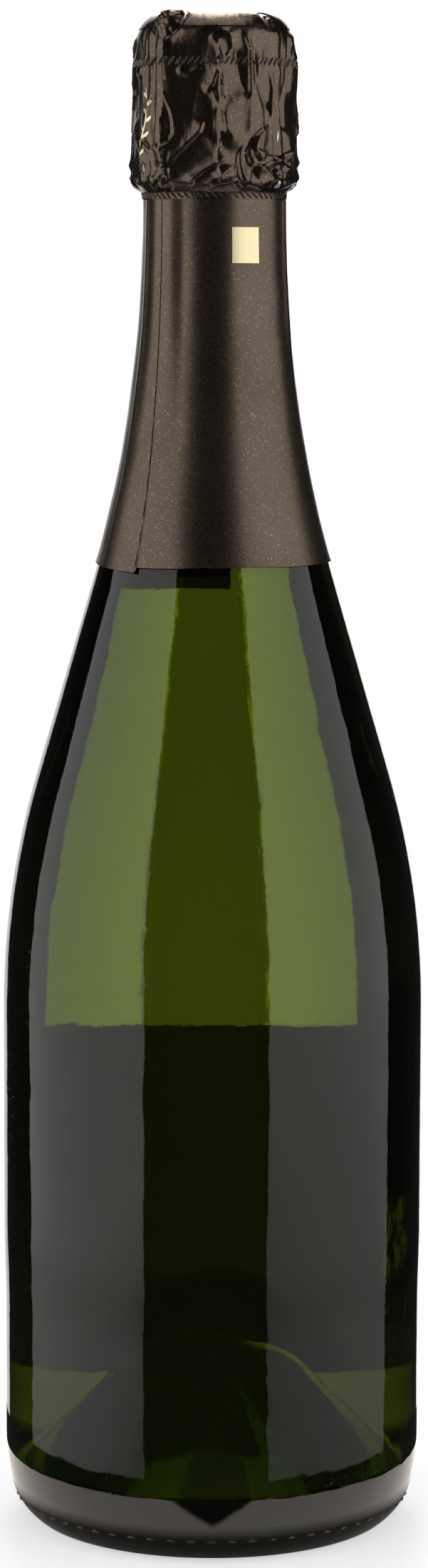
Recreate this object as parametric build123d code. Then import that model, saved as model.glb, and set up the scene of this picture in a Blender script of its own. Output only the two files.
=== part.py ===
from build123d import *
from math import asin, atan2, cos, degrees, hypot, pi, radians, sin, sqrt
import os

# A full bottle of sparkling wine, dressed and wired, in millimetres.
# The origin is on the axis, in the plane that the bottle stands on, and +Z points up.
# Directions round the axis are azimuths in degrees, from -Y at 0 towards +X at 90.
# A profile is drawn in a plane with x as the radius and y as the height.

# Turns, in degrees
full_turn = 360.0
half_turn = full_turn / 2
quarter_turn = full_turn / 4

# Glass, outside
body_radius = 44.27
panel_relief = 0.33
panel_blend_low = 44.0
panel_blend_length = 20.0
shoulder_low = 109.0
shoulder_arc = 175.8
shoulder_slope = 16.33
neck_arc = 277.7
neck_radius = 14.45
neck_straight = 7.56
heel_upper_arc = 50.0
heel_upper_turn = 11.54
heel_lower_arc = 12.5
heel_lower_turn = 54.05
heel_toe_arc = 2.0
bearing_width = 1.45
punt_depth = 36.0
punt_dome_arc = 12.0
punt_toe_arc = 2.0

# Glass, inside
wall = 4.85
heel_glass = 9.5
punt_glass = 5.6
inner_heel_arc = 5.0
neck_glass = 4.85
inner_neck_tightening = 101.7
lip_glass = 5.6
bore_length = 28.0
bore_taper = 4.0

# Glass, mouth
bead_depth = 0.65
bead_height = 6.9
bead_round = 1.0
groove_drop = 1.5
groove_height = 1.7
groove_depth = 1.1
groove_round = 0.6
lip_rise = 1.4
lip_inset = 0.05
lip_height = 5.1
lip_round = 1.7
mouth_round = 1.1

# Wine
fill_drop = 68.0
liquid_gap = 0.05

# Cork
cork_clearance = 0.05
cork_insertion = 24.5
cork_disc = 5.5
cork_seat_gap = 0.05
cork_head_overhang = 0.1
cork_head_height = 11.6
cork_head_round = 3.0
cork_skirt_round = 1.3

# Wire cage
wire_radius = 0.4
wire_sides = 6
wire_gap = 0.1
strand_gap = 0.04
strand_steps_per_turn = 8
leg_azimuths = (-40.0, 50.0, 140.0, -130.0)
leg_turns = 4
leg_head_gap = 0.15
leg_bend = 9.0
leg_reach = 0.07
hook_start = 250.0
hook_stop = 30.0
hook_steps = 5
eye_start = 60.0
eye_stop = -240.0
eye_steps = 8
eye_bead_gap = 0.06
belt_drop = 2.0
belt_step = 6.0
belt_foot_swell = 16.0

# Plaque on the cork
plaque_thickness = 0.3
plaque_inset = 1.6
plaque_rim_width = 0.9
plaque_hook_gap = 0.7
plaque_dome_slant = 1.6
plaque_dome_height = 3.4
plaque_round = 0.7

# Pull ring on the cage's belt
ring_azimuth = 22.0
ring_half_width = 3.7
ring_half_height = 5.0
ring_rise = 11.6
ring_bead_gap = 0.16
ring_turns = 1.5
ring_steps = 18
ring_end_swell = 16.0
ring_end_angle = 6.0
ring_end_steps = 4
ring_root_rise = 1.3
ring_root_gap = 0.05
ring_lead = 0.4

# Foil collar
foil_gap = 0.08
foil_thickness = 0.25
collar_length = 74.6
seam_azimuth = -40.0
seam_width = 20.0
seam_tip = 1.4
seam_thickness = 0.15

# Foil head
tear_drop = 3.4
tear_crown_drop = 3.3
tear_slit = 0.1
hood_flare_height = 2.7
hood_belly_room = 1.5
hood_belly_height = 7.8
hood_waist_drop = 3.0
hood_crown_room = 1.55
hood_crown_drop = 2.1
hood_top_gap = 0.55
hood_bend = 6.0
hood_foot_bend = 3.0
hood_hole_inset = 0.65
ridge_clearance = 0.3
lug_outset = 0.8
lug_drop = 0.3
lug_clearance = 0.55
ring_pad_gap = 0.08
ring_pad_border = 0.9
top_disc_skirt = 2.0
top_disc_gap = 0.03

# Gold patch on the foil
patch_azimuth = 25.8
patch_width = 6.0
patch_height = 7.3
patch_drop = 13.0
patch_gap = 0.1
patch_thickness = 0.1

# Paper labels
front_azimuth = 220.0
label_gap = 0.1
label_thickness = 0.15
front_label_angle = 122.0
front_label_rise = 6.0
front_label_height = 76.7
neck_label_angle = 88.4
neck_label_drop = 10.6
neck_label_height = 33.2

# Radii worked out from the values above
panel_radius = body_radius - panel_relief
inner_radius = panel_radius - wall
inner_neck_radius = neck_radius - neck_glass
inner_neck_arc = neck_arc - inner_neck_tightening
bead_radius = neck_radius + bead_depth
lip_radius = neck_radius - lip_inset
groove_radius = lip_radius - groove_depth
bore_radius = lip_radius - lip_glass
shank_radius = bore_radius - cork_clearance
cork_head_radius = lip_radius + cork_head_overhang
strand_offset = wire_radius + strand_gap / 2
strand_reach = strand_offset + wire_radius
loop_radius = 2 * wire_radius + wire_gap
loop_reach = loop_radius + wire_radius
belt_radius = neck_radius + wire_radius + wire_gap / 2
eye_radius = bead_radius + eye_bead_gap + loop_reach
leg_radius = cork_head_radius + leg_head_gap + strand_reach
plaque_radius = cork_head_radius - plaque_inset
plaque_channel = plaque_radius - plaque_rim_width
top_ring_radius = plaque_channel - wire_radius
plaque_dome_foot = top_ring_radius - loop_reach - plaque_hook_gap
plaque_dome_radius = plaque_dome_foot - plaque_dome_slant
leg_corner = leg_radius - top_ring_radius - loop_reach - leg_reach
ring_plane = bead_radius + ring_bead_gap + strand_reach
foil_outside = foil_gap + foil_thickness
ridge_radius = strand_reach + ridge_clearance
foot_bump = loop_reach + ridge_clearance
lug_bump = hypot(lug_outset, lug_drop) + loop_reach + lug_clearance
hood_belly_radius = bead_radius + hood_belly_room
hood_crown_radius = cork_head_radius + hood_crown_room
beyond = 2 * body_radius

# Heights worked out from the values above
heel_break = heel_toe_arc + (heel_lower_arc - heel_toe_arc) * sin(radians(heel_lower_turn))
heel_high = heel_break + (heel_upper_arc - heel_lower_arc) * sin(radians(heel_upper_turn))
punt_dome_middle = punt_depth - punt_dome_arc
inner_heel_middle = heel_glass + inner_heel_arc
shoulder_turn = radians(shoulder_slope)
shoulder_arcs = shoulder_arc + neck_arc
shoulder_fall = body_radius - neck_radius - shoulder_arcs * (1 - cos(shoulder_turn))
shoulder_rise = shoulder_arcs * sin(shoulder_turn) + shoulder_fall * cos(shoulder_turn) / sin(shoulder_turn)
bead_low = shoulder_low + shoulder_rise + neck_straight
bead_high = bead_low + bead_height
groove_low = bead_high + groove_drop
groove_high = groove_low + groove_height
lip_low = groove_high + lip_rise
lip_top = lip_low + lip_height
bore_low = lip_top - bore_length
fill_height = lip_top - fill_drop
cork_low = lip_top - cork_insertion
cork_top = lip_top + cork_head_height
belt_height = bead_low - belt_drop
plaque_seat = cork_top + cork_seat_gap
plaque_overhang = plaque_radius - cork_head_radius + cork_head_round
cork_fall = cork_head_round - sqrt(cork_head_round ** 2 - plaque_overhang ** 2)
plaque_rim_drop = cork_fall - cork_seat_gap
plaque_top = plaque_seat + plaque_dome_height + plaque_thickness
top_ring_height = plaque_seat + plaque_thickness + cork_seat_gap + loop_reach
ring_root = belt_height + ring_root_rise
ring_middle = belt_height + ring_rise
tear_low = belt_height - tear_drop
foil_hem = tear_low - collar_length
hood_belly_low = tear_low + hood_flare_height
hood_belly_high = hood_belly_low + hood_belly_height
hood_waist = lip_top - hood_waist_drop
hood_crown_low = cork_top - hood_crown_drop
hood_crown_top = plaque_top + hood_top_gap
hood_crown_arc = hood_crown_top - hood_crown_low
crown_middle = hood_crown_radius - hood_crown_arc
hood_hole_radius = crown_middle - hood_hole_inset
tear_high = hood_crown_low - tear_crown_drop
top_disc_hem = hood_crown_top - top_disc_skirt
patch_low = tear_low - patch_drop
front_label_low = heel_high + front_label_rise
neck_label_low = foil_hem - neck_label_drop


def region(*edges):
    """A face of a profile, from the edges that go round it."""
    return make_face([*edges])


def revolved(face, angle=full_turn, middle=0.0):
    """A profile turned about the axis, with its middle at an azimuth."""
    solid = revolve(Plane.XZ * face, Axis.Z, angle)
    return Rot(0, 0, middle - angle / 2 - quarter_turn) * solid if angle < full_turn else solid


def turned(shape, azimuth):
    """A shape built towards +X, brought to its azimuth."""
    return Rot(0, 0, azimuth - quarter_turn) * shape


def level_band(low, high):
    """The part of a profile's plane between two heights."""
    return make_face(Polyline((0, low), (beyond, low), (beyond, high), (0, high), close=True))


def slice_between(low, high):
    """A disc of space that cuts a solid to two heights."""
    return Pos(0, 0, low) * extrude(Circle(beyond), high - low)


def on_circle(middle, radius, angle):
    """A point on a circle, with the angle in degrees below the horizontal."""
    return (middle[0] + radius * cos(radians(angle)), middle[1] - radius * sin(radians(angle)))


def shoulder(foot, slope_arc, reach, blend_arc):
    """The sweep from the upright body wall up to the upright neck wall."""
    run = (foot.X - reach - (slope_arc + blend_arc) * (1 - cos(shoulder_turn))) / sin(shoulder_turn)
    start = JernArc(foot, (0, 1), slope_arc, shoulder_slope)
    slant = Line(start @ 1, (start @ 1) + (start % 1) * run)
    end = JernArc(slant @ 1, start % 1, blend_arc, -shoulder_slope)
    return [start, slant, end]


def flank(dome_arc, toe, toe_arc):
    """The punt's side: a dome on the axis, then a slope that meets a rounded toe."""
    fall = punt_dome_middle - toe[1]
    angle = atan2(fall, toe[0]) + asin((dome_arc + toe_arc) / hypot(toe[0], fall))
    dome = CenterArc((0, punt_dome_middle), dome_arc, quarter_turn, -degrees(angle))
    foot = (toe[0] - toe_arc * sin(angle), toe[1] - toe_arc * cos(angle))
    return [dome, Line(dome @ 1, foot)], degrees(angle)


def outer_wall(offset=0.0):
    """The glass surface from the heel to the bead, pushed out by an offset."""
    ogee = (panel_blend_length ** 2 + panel_relief ** 2) / (4 * panel_relief)
    lean = degrees(asin(panel_blend_length / 2 / ogee))
    panel = Line((panel_radius + offset, heel_high), (panel_radius + offset, panel_blend_low))
    hollow = JernArc(panel @ 1, (0, 1), ogee - offset, -lean)
    swell_out = JernArc(hollow @ 1, hollow % 1, ogee + offset, lean)
    side = Line(swell_out @ 1, (body_radius + offset, shoulder_low))
    sweep_up = shoulder(side @ 1, shoulder_arc + offset, neck_radius + offset, neck_arc - offset)
    neck = Line(sweep_up[-1] @ 1, (neck_radius + offset, bead_low - bead_depth))
    return [panel, hollow, swell_out, side, *sweep_up, neck]


def heel():
    """The rounded foot of the body, from the bearing ring up to the body wall."""
    top = (panel_radius - heel_upper_arc, heel_high)
    middle = on_circle(top, heel_upper_arc - heel_lower_arc, heel_upper_turn)
    toe = on_circle(middle, heel_lower_arc - heel_toe_arc, heel_lower_turn)
    toe_edge = CenterArc(toe, heel_toe_arc, -quarter_turn, quarter_turn - heel_lower_turn)
    low_edge = CenterArc(middle, heel_lower_arc, -heel_lower_turn, heel_lower_turn - heel_upper_turn)
    top_edge = CenterArc(top, heel_upper_arc, -heel_upper_turn, heel_upper_turn)
    return [toe_edge, low_edge, top_edge]


def outer_region():
    """Everything inside the glass's outer surface, above the punt."""
    foot = heel()
    punt_toe = ((foot[0] @ 0).X - bearing_width, punt_toe_arc)
    punt_side, angle = flank(punt_dome_arc, punt_toe, punt_toe_arc)
    toe = CenterArc(punt_toe, punt_toe_arc, full_turn - quarter_turn - angle, angle)
    bearing = Line(toe @ 1, foot[0] @ 0)
    wall_edges = outer_wall()
    mouth = FilletPolyline(
        wall_edges[-1] @ 1,
        (bead_radius, bead_low),
        (bead_radius, bead_high),
        (groove_radius, groove_low),
        (groove_radius, groove_high),
        (lip_radius, lip_low),
        (lip_radius, lip_top),
        (0, lip_top),
        radius=[groove_round, bead_round, groove_round, groove_round, groove_round, lip_round],
    )
    axis = Line((0, lip_top), (0, punt_depth))
    return region(*punt_side, toe, bearing, *foot, *wall_edges, mouth, axis)


def cavity_region(inset=0.0):
    """The room inside the glass, drawn in by an inset."""
    heel_arc = inner_heel_arc - inset
    toe = (inner_radius - inner_heel_arc, inner_heel_middle)
    punt_side, angle = flank(punt_dome_arc + punt_glass + inset, toe, heel_arc)
    inner_heel = CenterArc(toe, heel_arc, full_turn - quarter_turn - angle, angle + quarter_turn)
    side = Line(inner_heel @ 1, (inner_radius - inset, shoulder_low))
    arc = shoulder_arc - wall - panel_relief - inset
    sweep_up = shoulder(side @ 1, arc, inner_neck_radius - inset, inner_neck_arc + inset)
    neck = Line(sweep_up[-1] @ 1, (inner_neck_radius - inset, bore_low - bore_taper))
    taper = Line(neck @ 1, (bore_radius - inset, bore_low))
    bore = Line(taper @ 1, (bore_radius - inset, lip_top - mouth_round))
    mouth_middle = (bore_radius - inset + mouth_round, lip_top - mouth_round)
    mouth = CenterArc(mouth_middle, mouth_round, half_turn, -quarter_turn)
    top = Line(mouth @ 1, (0, lip_top))
    axis = Line((0, lip_top), punt_side[0] @ 0)
    return region(*punt_side, inner_heel, side, *sweep_up, neck, taper, bore, mouth, top, axis)


def wall_region(offset):
    """Everything inside the glass surface pushed out by an offset, from the heel to the bead."""
    edges = outer_wall(offset)
    foot = Line((0, heel_high), edges[0] @ 0)
    top = Line(edges[-1] @ 1, (0, (edges[-1] @ 1).Y))
    return region(foot, *edges, top, Line(top @ 1, (0, heel_high)))


def skin(gap, thickness, low, high, angle=full_turn, middle=0.0):
    """A thin layer that lies round the glass, between two heights and over an angle."""
    layer = (wall_region(gap + thickness) - wall_region(gap)) & level_band(low, high)
    return revolved(layer, angle, middle)


def glass_bottle():
    return revolved(outer_region() - cavity_region())


def wine():
    liquid = cavity_region(liquid_gap) & level_band(0, fill_height)
    return revolved(liquid)


def cork_body():
    low = cork_low + 2 * cork_disc
    seat = lip_top + cork_seat_gap
    profile = FilletPolyline(
        (shank_radius, seat),
        (cork_head_radius, seat),
        (cork_head_radius, cork_top),
        (0, cork_top),
        radius=[cork_skirt_round, cork_head_round],
    )
    shank = Polyline((0, cork_top), (0, low), (shank_radius, low), (shank_radius, seat))
    return revolved(region(profile, shank))


def cork_slice(place):
    """One of the two natural discs at the wine end, numbered from below."""
    low = cork_low + place * cork_disc
    return Pos(0, 0, low) * extrude(Circle(shank_radius), cork_disc)


def wire_along(points):
    """A wire whose axis runs through the points, as a bar of flat sides."""
    sections = []
    across = None
    for index, point in enumerate(points):
        before = points[max(index - 1, 0)]
        after = points[min(index + 1, len(points) - 1)]
        along = (after - before).normalized()
        guide = across if across else Vector(0, 1, 0).cross(along) + Vector(0, 1, 0)
        across = (guide - along * guide.dot(along)).normalized()
        place = Plane(origin=point, x_dir=across, z_dir=along)
        sections.append(place * RegularPolygon(wire_radius, wire_sides))
    return loft(sections, ruled=True)


def twisted(line, turns, phase):
    """A strand of a twisted pair about a flat line: points out of the plane and in it."""
    steps = round(strand_steps_per_turn * turns)
    points = []
    for step in range(steps + 1):
        share = step / steps
        middle = line @ share
        along = line % share
        angle = 2 * pi * turns * share + phase
        out = Vector(along.Y, -along.X) * (strand_offset * cos(angle))
        spot = middle + out
        points.append(Vector(spot.X, strand_offset * sin(angle), spot.Y))
    return points


def loop_point(middle, angle):
    """A point of a wire that goes round another, at an angle in the leg's plane."""
    turn = radians(angle)
    return Vector(middle[0] + loop_radius * cos(turn), 0, middle[1] + loop_radius * sin(turn))


def loop_round(middle, start, stop, steps):
    """Points of a wire that goes round another, between two angles."""
    return [loop_point(middle, start + (stop - start) * step / steps) for step in range(steps + 1)]


def leg_line():
    """The middle of a leg, from its foot eye over the bead and the cork to the top ring."""
    return FilletPolyline(
        (eye_radius, belt_height + loop_reach),
        (eye_radius, bead_high),
        (leg_radius, hood_waist),
        (leg_radius, top_ring_height),
        (top_ring_radius + loop_reach, top_ring_height),
        radius=[leg_bend, leg_bend, leg_corner],
    )


def cage_leg(azimuth):
    """One wire: hooked over the top ring, down, round the belt, and up again twisted with itself."""
    line = leg_line()
    first = twisted(line, leg_turns, 0)
    second = twisted(line, leg_turns, pi)
    hook = loop_round((top_ring_radius, top_ring_height), hook_start, hook_stop, hook_steps)
    eye = loop_round((eye_radius, belt_height), eye_start, eye_stop, eye_steps)
    tail = loop_point((top_ring_radius, top_ring_height), -hook_stop)
    return turned(wire_along([*hook, *first[::-1], *eye, *second, tail]), azimuth)


def cage_top_ring():
    section = Pos(top_ring_radius, top_ring_height) * RegularPolygon(wire_radius, wire_sides)
    return revolved(section)


def swell(angle, width):
    """1 at an angle of zero, falling smoothly to 0 at a width."""
    return (1 + cos(pi * min(abs(angle) / width, 1))) / 2


def belt_point(angle):
    """The belt's place at an angle from the pull ring: against the neck, and out at each eye."""
    from_ring = angle if angle < half_turn else angle - full_turn
    stand = (ring_plane - belt_radius) * swell(from_ring, ring_end_swell)
    for leg in leg_azimuths:
        away = (angle + ring_azimuth - leg + half_turn) % full_turn - half_turn
        stand = max(stand, (eye_radius - belt_radius) * swell(away, belt_foot_swell))
    reach = belt_radius + stand
    return Vector(reach * cos(radians(angle)), reach * sin(radians(angle)), belt_height)


def belt_points():
    """The belt from one end round to the other, with a point in the middle of each eye."""
    eyes = sorted((leg - ring_azimuth) % full_turn for leg in leg_azimuths)
    stations = [ring_end_angle, *eyes, full_turn - ring_end_angle]
    points = []
    for low, high in zip(stations, stations[1:]):
        steps = max(round((high - low) / belt_step), 1)
        points += [belt_point(low + (high - low) * step / steps) for step in range(steps)]
    return [*points, belt_point(stations[-1])]


def curve_to(start, corner, end, steps):
    """Points of a quadratic curve, without its two ends."""
    points = []
    for step in range(1, steps):
        share = step / steps
        points.append(start * (1 - share) ** 2 + corner * (2 * share * (1 - share)) + end * share ** 2)
    return points


def cage_belt_wire():
    """The wire under the bead, through the four eyes, with both ends turned up at the pull ring."""
    belt = belt_points()
    left_root = Vector(ring_plane, strand_offset, ring_root)
    right_root = Vector(ring_plane, -strand_offset, ring_root)
    left_corner = Vector(ring_plane, strand_offset, belt_height)
    right_corner = Vector(ring_plane, -strand_offset, belt_height)
    start = [left_root, *curve_to(left_root, left_corner, belt[0], ring_end_steps)]
    end = [*curve_to(belt[-1], right_corner, right_root, ring_end_steps), right_root]
    return turned(wire_along(start + belt + end), ring_azimuth)


def cage_pull_ring():
    """The oval loop and its twisted stem, lying flat against the bead."""
    low = ring_root + ring_root_gap
    stem = Line((ring_plane, low + ring_lead), (ring_plane, ring_middle - ring_half_height))
    first = [Vector(ring_plane, strand_offset, low), *twisted(stem, ring_turns, pi / 2)]
    second = [Vector(ring_plane, -strand_offset, low), *twisted(stem, ring_turns, -pi / 2)]
    opening = degrees(asin(strand_offset / ring_half_width))
    start = -quarter_turn - opening
    sweep_angle = full_turn - 2 * opening
    loop = []
    for step in range(1, ring_steps):
        angle = radians(start - sweep_angle * step / ring_steps)
        across = ring_half_width * cos(angle)
        loop.append(Vector(ring_plane, across, ring_middle + ring_half_height * sin(angle)))
    return turned(wire_along(first + loop + second[::-1]), ring_azimuth)


def cage_plaque():
    """The metal cap on the cork: a raised middle, a channel for the top ring and a turned-down rim."""
    lower = FilletPolyline(
        (0, plaque_seat + plaque_dome_height),
        (plaque_dome_radius, plaque_seat + plaque_dome_height),
        (plaque_dome_foot, plaque_seat),
        (plaque_channel, plaque_seat),
        (plaque_radius, plaque_seat - plaque_rim_drop),
        radius=plaque_round,
    )
    upper = Pos(0, plaque_thickness) * lower
    edge = Line(lower @ 1, upper @ 1)
    middle = Line(upper @ 0, lower @ 0)
    return revolved(region(*lower.edges(), edge, *upper.edges(), middle))


def hood(offset):
    """Everything inside the foil head: cork, cage and air, with a ridge over each wire leg."""
    side = FilletPolyline(
        (neck_radius + foil_gap + offset, tear_low),
        (hood_belly_radius + offset, hood_belly_low),
        (hood_belly_radius + offset, hood_belly_high),
        (hood_crown_radius + offset, hood_waist),
        (hood_crown_radius + offset, hood_crown_low),
        radius=[hood_foot_bend, hood_bend, hood_bend],
    )
    crown = CenterArc((crown_middle, hood_crown_low), hood_crown_arc + offset, 0, quarter_turn)
    closing = Polyline(crown @ 1, (0, (crown @ 1).Y), (0, tear_low), side @ 0)
    body = revolved(region(*side.edges(), crown, *closing.edges()))
    ridge = hood_ridge(offset)
    for azimuth in leg_azimuths:
        body += turned(ridge, azimuth)
    return body + turned(ring_pad(offset), ring_azimuth)


def hood_ridge(offset):
    """The foil over one leg: a tube on the leg's line, a bump at its foot and a lug at its top."""
    path = Plane.XZ * leg_line()
    tube = sweep(Plane(origin=path @ 0, z_dir=path % 0) * Circle(ridge_radius + offset), path)
    foot = Pos(eye_radius, 0, belt_height) * Sphere(foot_bump + offset)
    lug_place = (top_ring_radius + lug_outset, 0, top_ring_height - lug_drop)
    return tube + foot + Pos(*lug_place) * Sphere(lug_bump + offset)


def ring_pad(offset):
    """The raised oval that the pull ring makes in the foil, with its stem and its root below."""
    border = wire_radius + ring_pad_border + offset
    oval = Ellipse(ring_half_width + border, ring_half_height + border)
    prism = extrude(Plane(origin=(0, 0, ring_middle), x_dir=(0, 1, 0), z_dir=(1, 0, 0)) * oval, beyond)
    reach = ring_plane + strand_reach + ring_pad_gap + offset
    oval_pad = prism & Pos(0, 0, tear_low) * extrude(Circle(reach), hood_crown_low - tear_low)
    root = Pos(ring_plane, 0, belt_height)
    stem = root * extrude(Circle(ridge_radius + offset), ring_rise)
    return oval_pad + stem + root * Sphere(foot_bump + offset)


def foil_collar():
    """The sleeve on the neck, with the second layer of its lapped seam hanging a little lower."""
    top = tear_low - tear_slit / 2
    sleeve = skin(foil_gap, foil_thickness, foil_hem, top)
    middle = seam_azimuth - seam_width / 2
    lap = skin(foil_outside, seam_thickness, foil_hem - seam_tip, top, seam_width, middle)
    return sleeve + lap


def foil_pieces():
    """The tear band, the cap above it and the disc on top, cut from one pressed shape."""
    shell = hood(foil_thickness) - hood(0)
    band = shell & slice_between(tear_low + tear_slit / 2, tear_high - tear_slit / 2)
    above = hood_crown_top + beyond
    hole = Pos(0, 0, hood_crown_low) * extrude(Circle(hood_hole_radius), beyond)
    cap = (shell & slice_between(tear_high + tear_slit / 2, above)) - hole
    inner = hood(foil_thickness + top_disc_gap)
    disc = (hood(2 * foil_thickness + top_disc_gap) - inner) & slice_between(top_disc_hem, above)
    return {"foil_tear_band": band, "foil_top_cap": cap, "foil_top_disc": disc}


def gold_patch():
    """A small rectangle of gold leaf on the collar."""
    angle = degrees(patch_width / (neck_radius + foil_outside))
    gap = foil_outside + patch_gap
    return skin(gap, patch_thickness, patch_low, patch_low + patch_height, angle, patch_azimuth)


def front_label():
    high = front_label_low + front_label_height
    return skin(label_gap, label_thickness, front_label_low, high, front_label_angle, front_azimuth)


def neck_label():
    """A curved band that laps over the collar's hem."""
    gap = foil_outside + label_gap
    high = neck_label_low + neck_label_height
    return skin(gap, label_thickness, neck_label_low, high, neck_label_angle, front_azimuth)


pieces = {
    "glass_bottle": glass_bottle(),
    "wine": wine(),
    "cork_body": cork_body(),
    "cork_disc_lower": cork_slice(0),
    "cork_disc_upper": cork_slice(1),
    "cage_plaque": cage_plaque(),
    "cage_top_ring": cage_top_ring(),
    "cage_belt_wire": cage_belt_wire(),
    "cage_pull_ring": cage_pull_ring(),
    "foil_collar": foil_collar(),
    "gold_patch": gold_patch(),
    "front_label": front_label(),
    "neck_label": neck_label(),
}
for number, azimuth in enumerate(leg_azimuths, start=1):
    pieces[f"cage_leg_{number}"] = cage_leg(azimuth)
pieces.update(foil_pieces())

os.makedirs("parts", exist_ok=True)
for name, piece in pieces.items():
    export_step(piece, f"parts/{name}.step")
    print(name, round(piece.volume, 1), "cubic millimetres")
print("overall height", round(hood_crown_top + 2 * foil_thickness + top_disc_gap, 2))
print("pull ring's plane and root", round(ring_plane, 3), round(ring_root, 3))
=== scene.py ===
"""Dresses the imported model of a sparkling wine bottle: glass, wine, cork, wire cage, foil and labels."""
import math

import bmesh
import bpy
import numpy as np
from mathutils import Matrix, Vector, noise


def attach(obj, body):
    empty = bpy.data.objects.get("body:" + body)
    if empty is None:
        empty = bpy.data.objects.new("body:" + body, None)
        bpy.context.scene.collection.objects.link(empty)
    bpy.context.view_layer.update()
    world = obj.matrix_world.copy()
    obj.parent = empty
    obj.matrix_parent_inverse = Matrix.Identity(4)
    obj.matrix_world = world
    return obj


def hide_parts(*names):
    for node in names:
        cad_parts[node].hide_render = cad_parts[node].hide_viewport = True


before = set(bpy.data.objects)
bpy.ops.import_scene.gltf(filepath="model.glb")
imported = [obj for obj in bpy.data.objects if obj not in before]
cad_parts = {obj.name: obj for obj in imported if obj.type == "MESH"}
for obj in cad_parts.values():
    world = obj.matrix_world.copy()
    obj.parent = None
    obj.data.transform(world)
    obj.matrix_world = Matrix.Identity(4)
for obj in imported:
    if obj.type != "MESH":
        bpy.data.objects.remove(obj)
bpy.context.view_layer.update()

bl_info = {
    "name": "Dressed Sparkling Wine Bottle",
    "version": (1, 0, 0),
    "blender": (4, 5, 0),
    "location": "View3D > Sidebar > Bottle",
    "description": "Builds a full, dressed bottle of sparkling wine round its packed model",
    "category": "Add Mesh",
}

MM = 0.001
TINY = 1e-7
TURN = 2 * math.pi
WHITE = (1.0, 1.0, 1.0)

# Longest steps along an outline, in degrees and metres, and the least angle that shows as an edge
ARC_STEP = 5.0
RUN_STEP = 2.5 * MM
EDGE_ANGLE = 55.0

# The glass outside: its punt, the toe that it stands on, and the three arcs of its heel, from the wall down
PUNT_ARC = 12.0 * MM
TOE = (35.4 * MM, 2.0 * MM)
TOE_ARC = 2.0 * MM
HEEL_TOP = 18.0 * MM
HEEL_ARCS = (50.0 * MM, 12.5 * MM, 2.0 * MM)
HEEL_LEANS = (11.54, 54.05)
HEEL_FOOT = 6.0 * MM
HEEL_REACH = 36.0 * MM

# The mouth with its bead and groove: radii and heights in millimetres, and the round of each inner corner
MOUTH = [
    (14.45, 282.75), (15.1, 283.4), (15.1, 290.3), (13.3, 291.8), (13.3, 293.5), (14.4, 294.9), (14.4, 300.0),
    (9.9, 300.0),
]
MOUTH_ROUNDS = [0.6, 1.0, 0.6, 0.6, 0.6, 1.7]
LIP = (9.9 * MM, 298.9 * MM)
LIP_ARC = 1.1 * MM

# The glass inside: the rounds of its punt and toe, the sweep into the neck, and where the bore narrows
INNER_PUNT_ARC = 17.6 * MM
INNER_TOE_ARC = 5.0 * MM
INNER_TOE_LEVEL = 14.5 * MM
INNER_NECK_ARC = 176.0 * MM
NECK_BORE = (9.6 * MM, 268.0 * MM)
MOUTH_BORE = (8.8 * MM, 272.0 * MM)

# The mould seams run from the heel to the bead: least height and radius at the foot, and at the top
SEAM_FOOT = (6.0 * MM, 38.0 * MM)
SEAM_TOP = (290.0 * MM, 14.5 * MM)

# Columns to each side of a seam's middle, and how many of them its width holds
SEAM_SIDE = 6
SEAM_SHARE = 3

# The wine's surface: its rings, and how much closer together they lie towards the middle
SURFACE_RINGS = 17
SURFACE_CROWD = 1.6


def amount(name, description, default, **more):
    return bpy.props.FloatProperty(name=name, description=description, default=default, **more)


def size(name, description, default):
    """A length property, with its default given in millimetres."""
    return amount(name, description, default * MM, unit="LENGTH")


def turn(name, description, default):
    """An angle property, with its default given in degrees."""
    return amount(name, description, math.radians(default), subtype="ANGLE")


def count(name, description, default):
    return bpy.props.IntProperty(name=name, description=description, default=default)


def colour(name, description, default):
    return bpy.props.FloatVectorProperty(
        name=name, description=description, default=default, size=3, subtype="COLOR", min=0.0, max=1.0
    )


class BottleGlassSettings(bpy.types.PropertyGroup):
    body_radius: size("Body radius", "Outside radius of the body above the label panel", 44.27)
    panel_relief: size("Panel relief", "How far the label panel lies inside the body radius", 0.33)
    panel_low: size("Panel blend", "Height at which the panel starts to swell out", 44.0)
    panel_high: size("Panel top", "Height at which the body has its full radius", 64.0)
    shoulder_low: size("Shoulder", "Height at which the body starts to draw in", 109.0)
    shoulder_arc: size("Shoulder arc", "Radius of the round of the shoulder", 175.8)
    shoulder_slope: turn("Shoulder slope", "Lean of the straight between shoulder and neck", 16.33)
    neck_arc: size("Neck arc", "Radius of the hollow sweep into the neck", 277.7)
    neck_radius: size("Neck radius", "Outside radius of the neck", 14.45)
    wall: size("Wall", "Thickness of the glass at the body", 4.85)
    punt_depth: size("Punt depth", "Height of the punt's top over the table", 36.0)
    seam_width: size("Seam width", "Width of the mould seams", 0.6)
    seam_height: size("Seam height", "How far the mould seams stand out", 0.03)
    seam_azimuth: turn("Seam azimuth", "Direction of the first mould seam", -28.0)
    columns: count("Columns", "Facets round the glass", 204)
    bars: count("Bars", "Raised bars round the heel", 62)
    bar_length: size("Bar length", "Length of a raised bar of the heel", 2.2)
    bar_width: size("Bar width", "Width of a raised bar of the heel", 0.6)
    bar_level: size("Bar level", "Height of the heel's raised bars", 4.8)


class BottleWineSettings(bpy.types.PropertyGroup):
    level: size("Level", "Height of the wine's surface", 232.0)
    bite: size("Bite", "How far the wine's skin reaches into the glass, so that light bends once", 0.15)
    climb: size("Climb", "How far the wine creeps up the glass at its edge", 1.8)
    creep: size("Creep", "How far from the glass the surface starts to rise", 1.9)


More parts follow.
